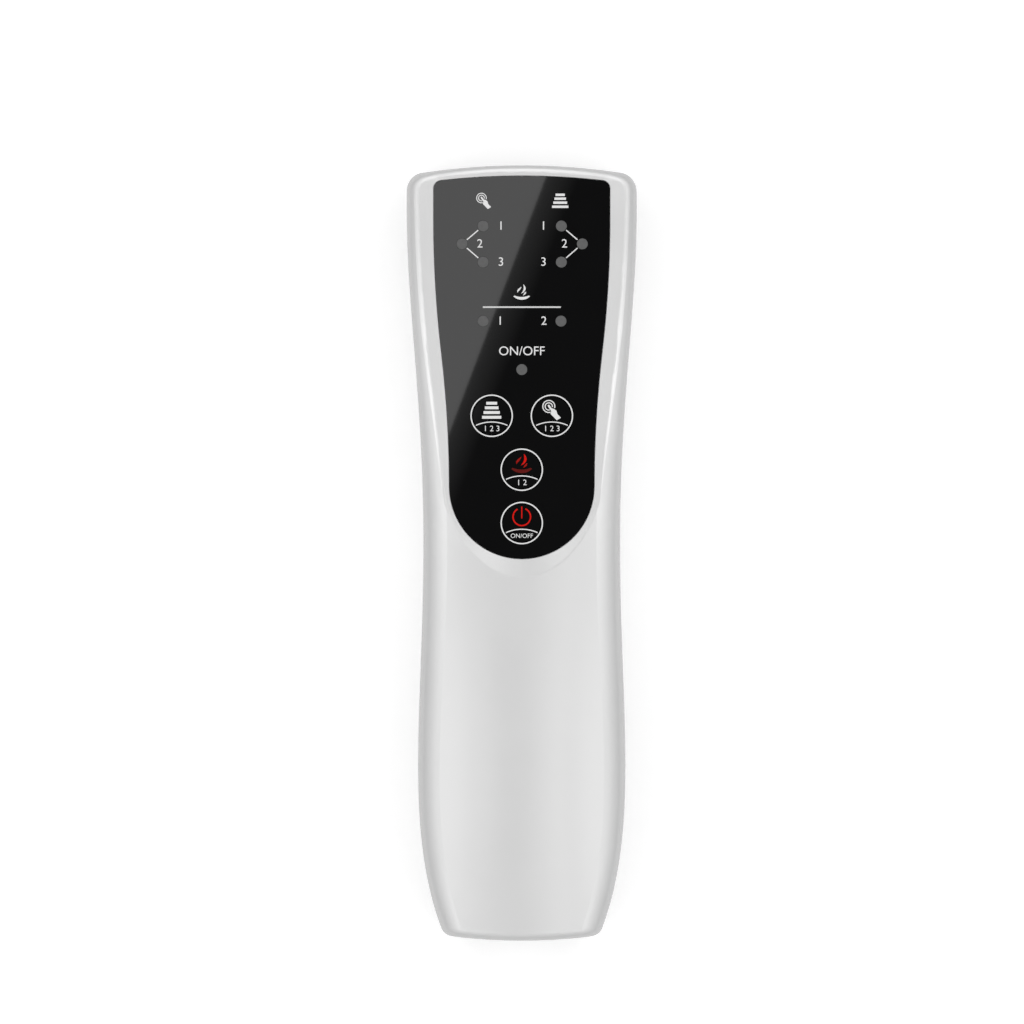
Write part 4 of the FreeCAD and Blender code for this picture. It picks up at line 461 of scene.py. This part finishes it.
def floor_finish():
    """White paper that stays white where the camera sees it unshaded."""
    material = bpy.data.materials.new("floor")
    tree = tree_of(material)
    shader = tree.nodes["Principled BSDF"]
    place = tree.nodes.new("ShaderNodeTexCoord").outputs["Object"]
    grain = linked(tree, "ShaderNodeTexNoise", Vector=place, Scale=40.0)
    paper = mixed(tree, grain.outputs["Fac"], (0.90, 0.90, 0.90), (0.92, 0.92, 0.92))
    tree.links.new(paper, shader.inputs["Base Color"])
    shader.inputs["Roughness"].default_value = 0.9
    shader.inputs["Specular IOR Level"].default_value = 0.0
    seen = tree.nodes.new("ShaderNodeLightPath").outputs["Is Camera Ray"]
    shader.inputs["Emission Color"].default_value = (1.0, 1.0, 1.0, 1.0)
    tree.links.new(spread(tree, seen, 0.0, FLOOR_LIFT), shader.inputs["Emission Strength"])
    return material


def glowing(name):
    """A finish that only shines, with its node tree, its place on the card and its light."""
    material = bpy.data.materials.new(name)
    tree = tree_of(material)
    tree.nodes.remove(tree.nodes["Principled BSDF"])
    place = tree.nodes.new("ShaderNodeTexCoord").outputs["Object"]
    light = tree.nodes.new("ShaderNodeEmission")
    tree.links.new(light.outputs["Emission"], tree.nodes["Material Output"].inputs["Surface"])
    return material, tree, place, light


def card_point(point):
    """Where the card meets the camera's view of a panel point after one mirror reflection."""
    x = CAMERA_AT[0] + (point[0] - CAMERA_AT[0]) * CARD_GROWTH
    y = CAMERA_AT[1] + (point[1] - CAMERA_AT[1]) * CARD_GROWTH
    return Vector((x * MM, y * MM, CARD_HEIGHT * MM))


def glint_finish():
    """Black, with a bright part on one side of a slanting edge and a fading strip on the other."""
    material, tree, place, light = glowing("card")
    top, low = (card_point(p) for p in GLINT_ENDS)
    along = (top - low).normalized()
    moved = worked(tree, "ShaderNodeVectorMath", "SUBTRACT", place, (low.x, low.y, 0.0))["Vector"]
    off = worked(tree, "ShaderNodeVectorMath", "DOT_PRODUCT", moved, (along.y, -along.x, 0.0))["Value"]
    fading = linked(tree, "ShaderNodeMapRange", Value=off, From_Min=0.0, To_Min=CARD_EDGE_GLOW,
                    From_Max=CARD_FADE * CARD_GROWTH * MM, To_Max=0.0).outputs["Result"]
    bright = worked(tree, "ShaderNodeMath", "LESS_THAN", off, 0.0)["Value"]
    rise = CARD_GLOW - CARD_EDGE_GLOW
    tree.links.new(worked(tree, "ShaderNodeMath", "MULTIPLY_ADD", bright, rise, fading)["Value"],
                   light.inputs["Strength"])
    return material


def bands(tree, along, steps):
    """Grey levels along one coordinate, blended between the steps."""
    first, last = steps[0][0] * MM, steps[-1][0] * MM
    share = linked(tree, "ShaderNodeMapRange", Value=along, From_Min=first, From_Max=last)
    levels = linked(tree, "ShaderNodeValToRGB", Fac=share.outputs["Result"])
    ramp = levels.color_ramp.elements
    for i, (place, level) in enumerate(steps):
        at = (place * MM - first) / (last - first)
        # A new ramp already has two steps.
        step = ramp[i] if i < 2 else ramp.new(at)
        step.position = at
        step.color = (level, level, level, 1.0)
    return levels.outputs["Color"]


def banded_finish(name, glow, axis, steps, swell=None):
    """Soft bands of light across a card, which may swell along it."""
    material, tree, place, light = glowing(name)
    split = linked(tree, "ShaderNodeSeparateXYZ", Vector=place)
    tree.links.new(bands(tree, split.outputs[axis], steps), light.inputs["Color"])
    light.inputs["Strength"].default_value = glow
    if swell:
        grown = worked(tree, "ShaderNodeMath", "MULTIPLY", bands(tree, split.outputs["Y"], swell), glow)
        tree.links.new(grown["Value"], light.inputs["Strength"])
    return material


def card(name, corners, finish):
    """A card with corners in metres that only reflections see."""
    thing = plane(name, corners, finish)
    thing.visible_camera = False
    thing.visible_diffuse = False
    thing.visible_shadow = False


def level_card(name, x, y, height, finish):
    """A level card between two places across and two along, in millimetres."""
    corners = [(x[0], y[0]), (x[1], y[0]), (x[1], y[1]), (x[0], y[1])]
    card(name, [(a * MM, b * MM, height * MM) for a, b in corners], finish)


def upright_card(name, first, second, height, finish):
    """A card that stands on the floor between two places, in millimetres."""
    corners = [(*first, 0.0), (*second, 0.0), (*second, height), (*first, height)]
    card(name, [(a * MM, b * MM, c * MM) for a, b, c in corners], finish)


edge = FLOOR_REACH * MM
floor_corners = [(-edge, -edge, 0.0), (edge, -edge, 0.0), (edge, edge, 0.0), (-edge, edge, 0.0)]
plane("floor", floor_corners, floor_finish())
near_y, far_y = CARD_ENDS
over_panel = [(-CARD_HALF, near_y), (CARD_HALF, near_y), (CARD_HALF, far_y), (-CARD_HALF, far_y)]
card("panel_card", [card_point(p) for p in over_panel], glint_finish())
sky_steps = [(SKY_HEIGHT * math.tan(math.radians(angle)), level) for angle, level in SKY_STEPS]
sky_ends = (sky_steps[0][0], sky_steps[-1][0])
level_card("sky_card", sky_ends, (-SKY_LENGTH, SKY_LENGTH), SKY_HEIGHT,
           banded_finish("sky_card", SKY_GLOW, "X", sky_steps))
near_x, reach = SIDE_STEPS[0][0], SIDE_STEPS[-1][0]
foot_y, head_y = SIDE_SWELL[0][0], SIDE_SWELL[-1][0]
for side, name in ((-1, "left"), (1, "right")):
    steps = sorted((side * place, level) for place, level in SIDE_STEPS)
    level_card(f"{name}_card", (steps[0][0], steps[-1][0]), (foot_y, head_y), LOW_HEIGHT,
               banded_finish(f"{name}_card", SIDE_GLOW, "X", steps, SIDE_SWELL))
    upright_card(f"{name}_fence", (side * reach, foot_y), (side * reach, head_y), LOW_HEIGHT,
                 banded_finish(f"{name}_fence", SIDE_GLOW, "Z", FENCE_STEPS, SIDE_SWELL))
level_card("head_card", (-near_x, near_x), (HEAD_STEPS[0][0], HEAD_STEPS[-1][0]), LOW_HEIGHT,
           banded_finish("head_card", HEAD_GLOW, "Y", HEAD_STEPS))
for name, y in (("foot_fence", foot_y), ("head_fence", head_y)):
    upright_card(name, (-reach, y), (reach, y), LOW_HEIGHT, banded_finish(name, END_GLOW, "Z", FENCE_STEPS))


# Lamps and the light of the room

near, far = (LAMP_HEIGHT * MM * math.tan(math.radians(angle)) for angle in LAMP_ANGLES)
for side, name in ((-1, "left_lamp"), (1, "right_lamp")):
    lamp = bpy.data.lights.new(name, "AREA")
    lamp.shape = "RECTANGLE"
    lamp.size = far - near
    lamp.size_y = LAMP_LENGTH * MM
    lamp.energy = LAMP_RADIANCE * math.pi * lamp.size * lamp.size_y
    thing = bpy.data.objects.new(name, lamp)
    thing.location = (side * (near + far) / 2, CAMERA_AT[1] * MM, LAMP_HEIGHT * MM)
    thing.visible_camera = False
    thing.visible_glossy = False
    bpy.context.scene.collection.objects.link(thing)

world = bpy.data.worlds.new("studio")
bpy.context.scene.world = world
room = tree_of(world)
seen = room.nodes.new("ShaderNodeLightPath").outputs["Is Camera Ray"]
backdrop = room.nodes["Background"]
backdrop.inputs["Color"].default_value = (1.0, 1.0, 1.0, 1.0)
room.links.new(spread(room, seen, WORLD_LEVEL, 1.0), backdrop.inputs["Strength"])


# Camera

camera = bpy.data.cameras.new("camera")
camera.sensor_width = SENSOR
camera.lens = SENSOR * (CAMERA_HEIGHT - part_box("panel")[1].z / MM) / FRAME_WIDTH
camera.clip_end = CAMERA_REACH * MM
eye = bpy.data.objects.new("camera", camera)
eye.location = (CAMERA_AT[0] * MM, CAMERA_AT[1] * MM, CAMERA_HEIGHT * MM)
bpy.context.scene.collection.objects.link(eye)
bpy.context.scene.camera = eye
bpy.context.scene.view_settings.view_transform = "Standard"
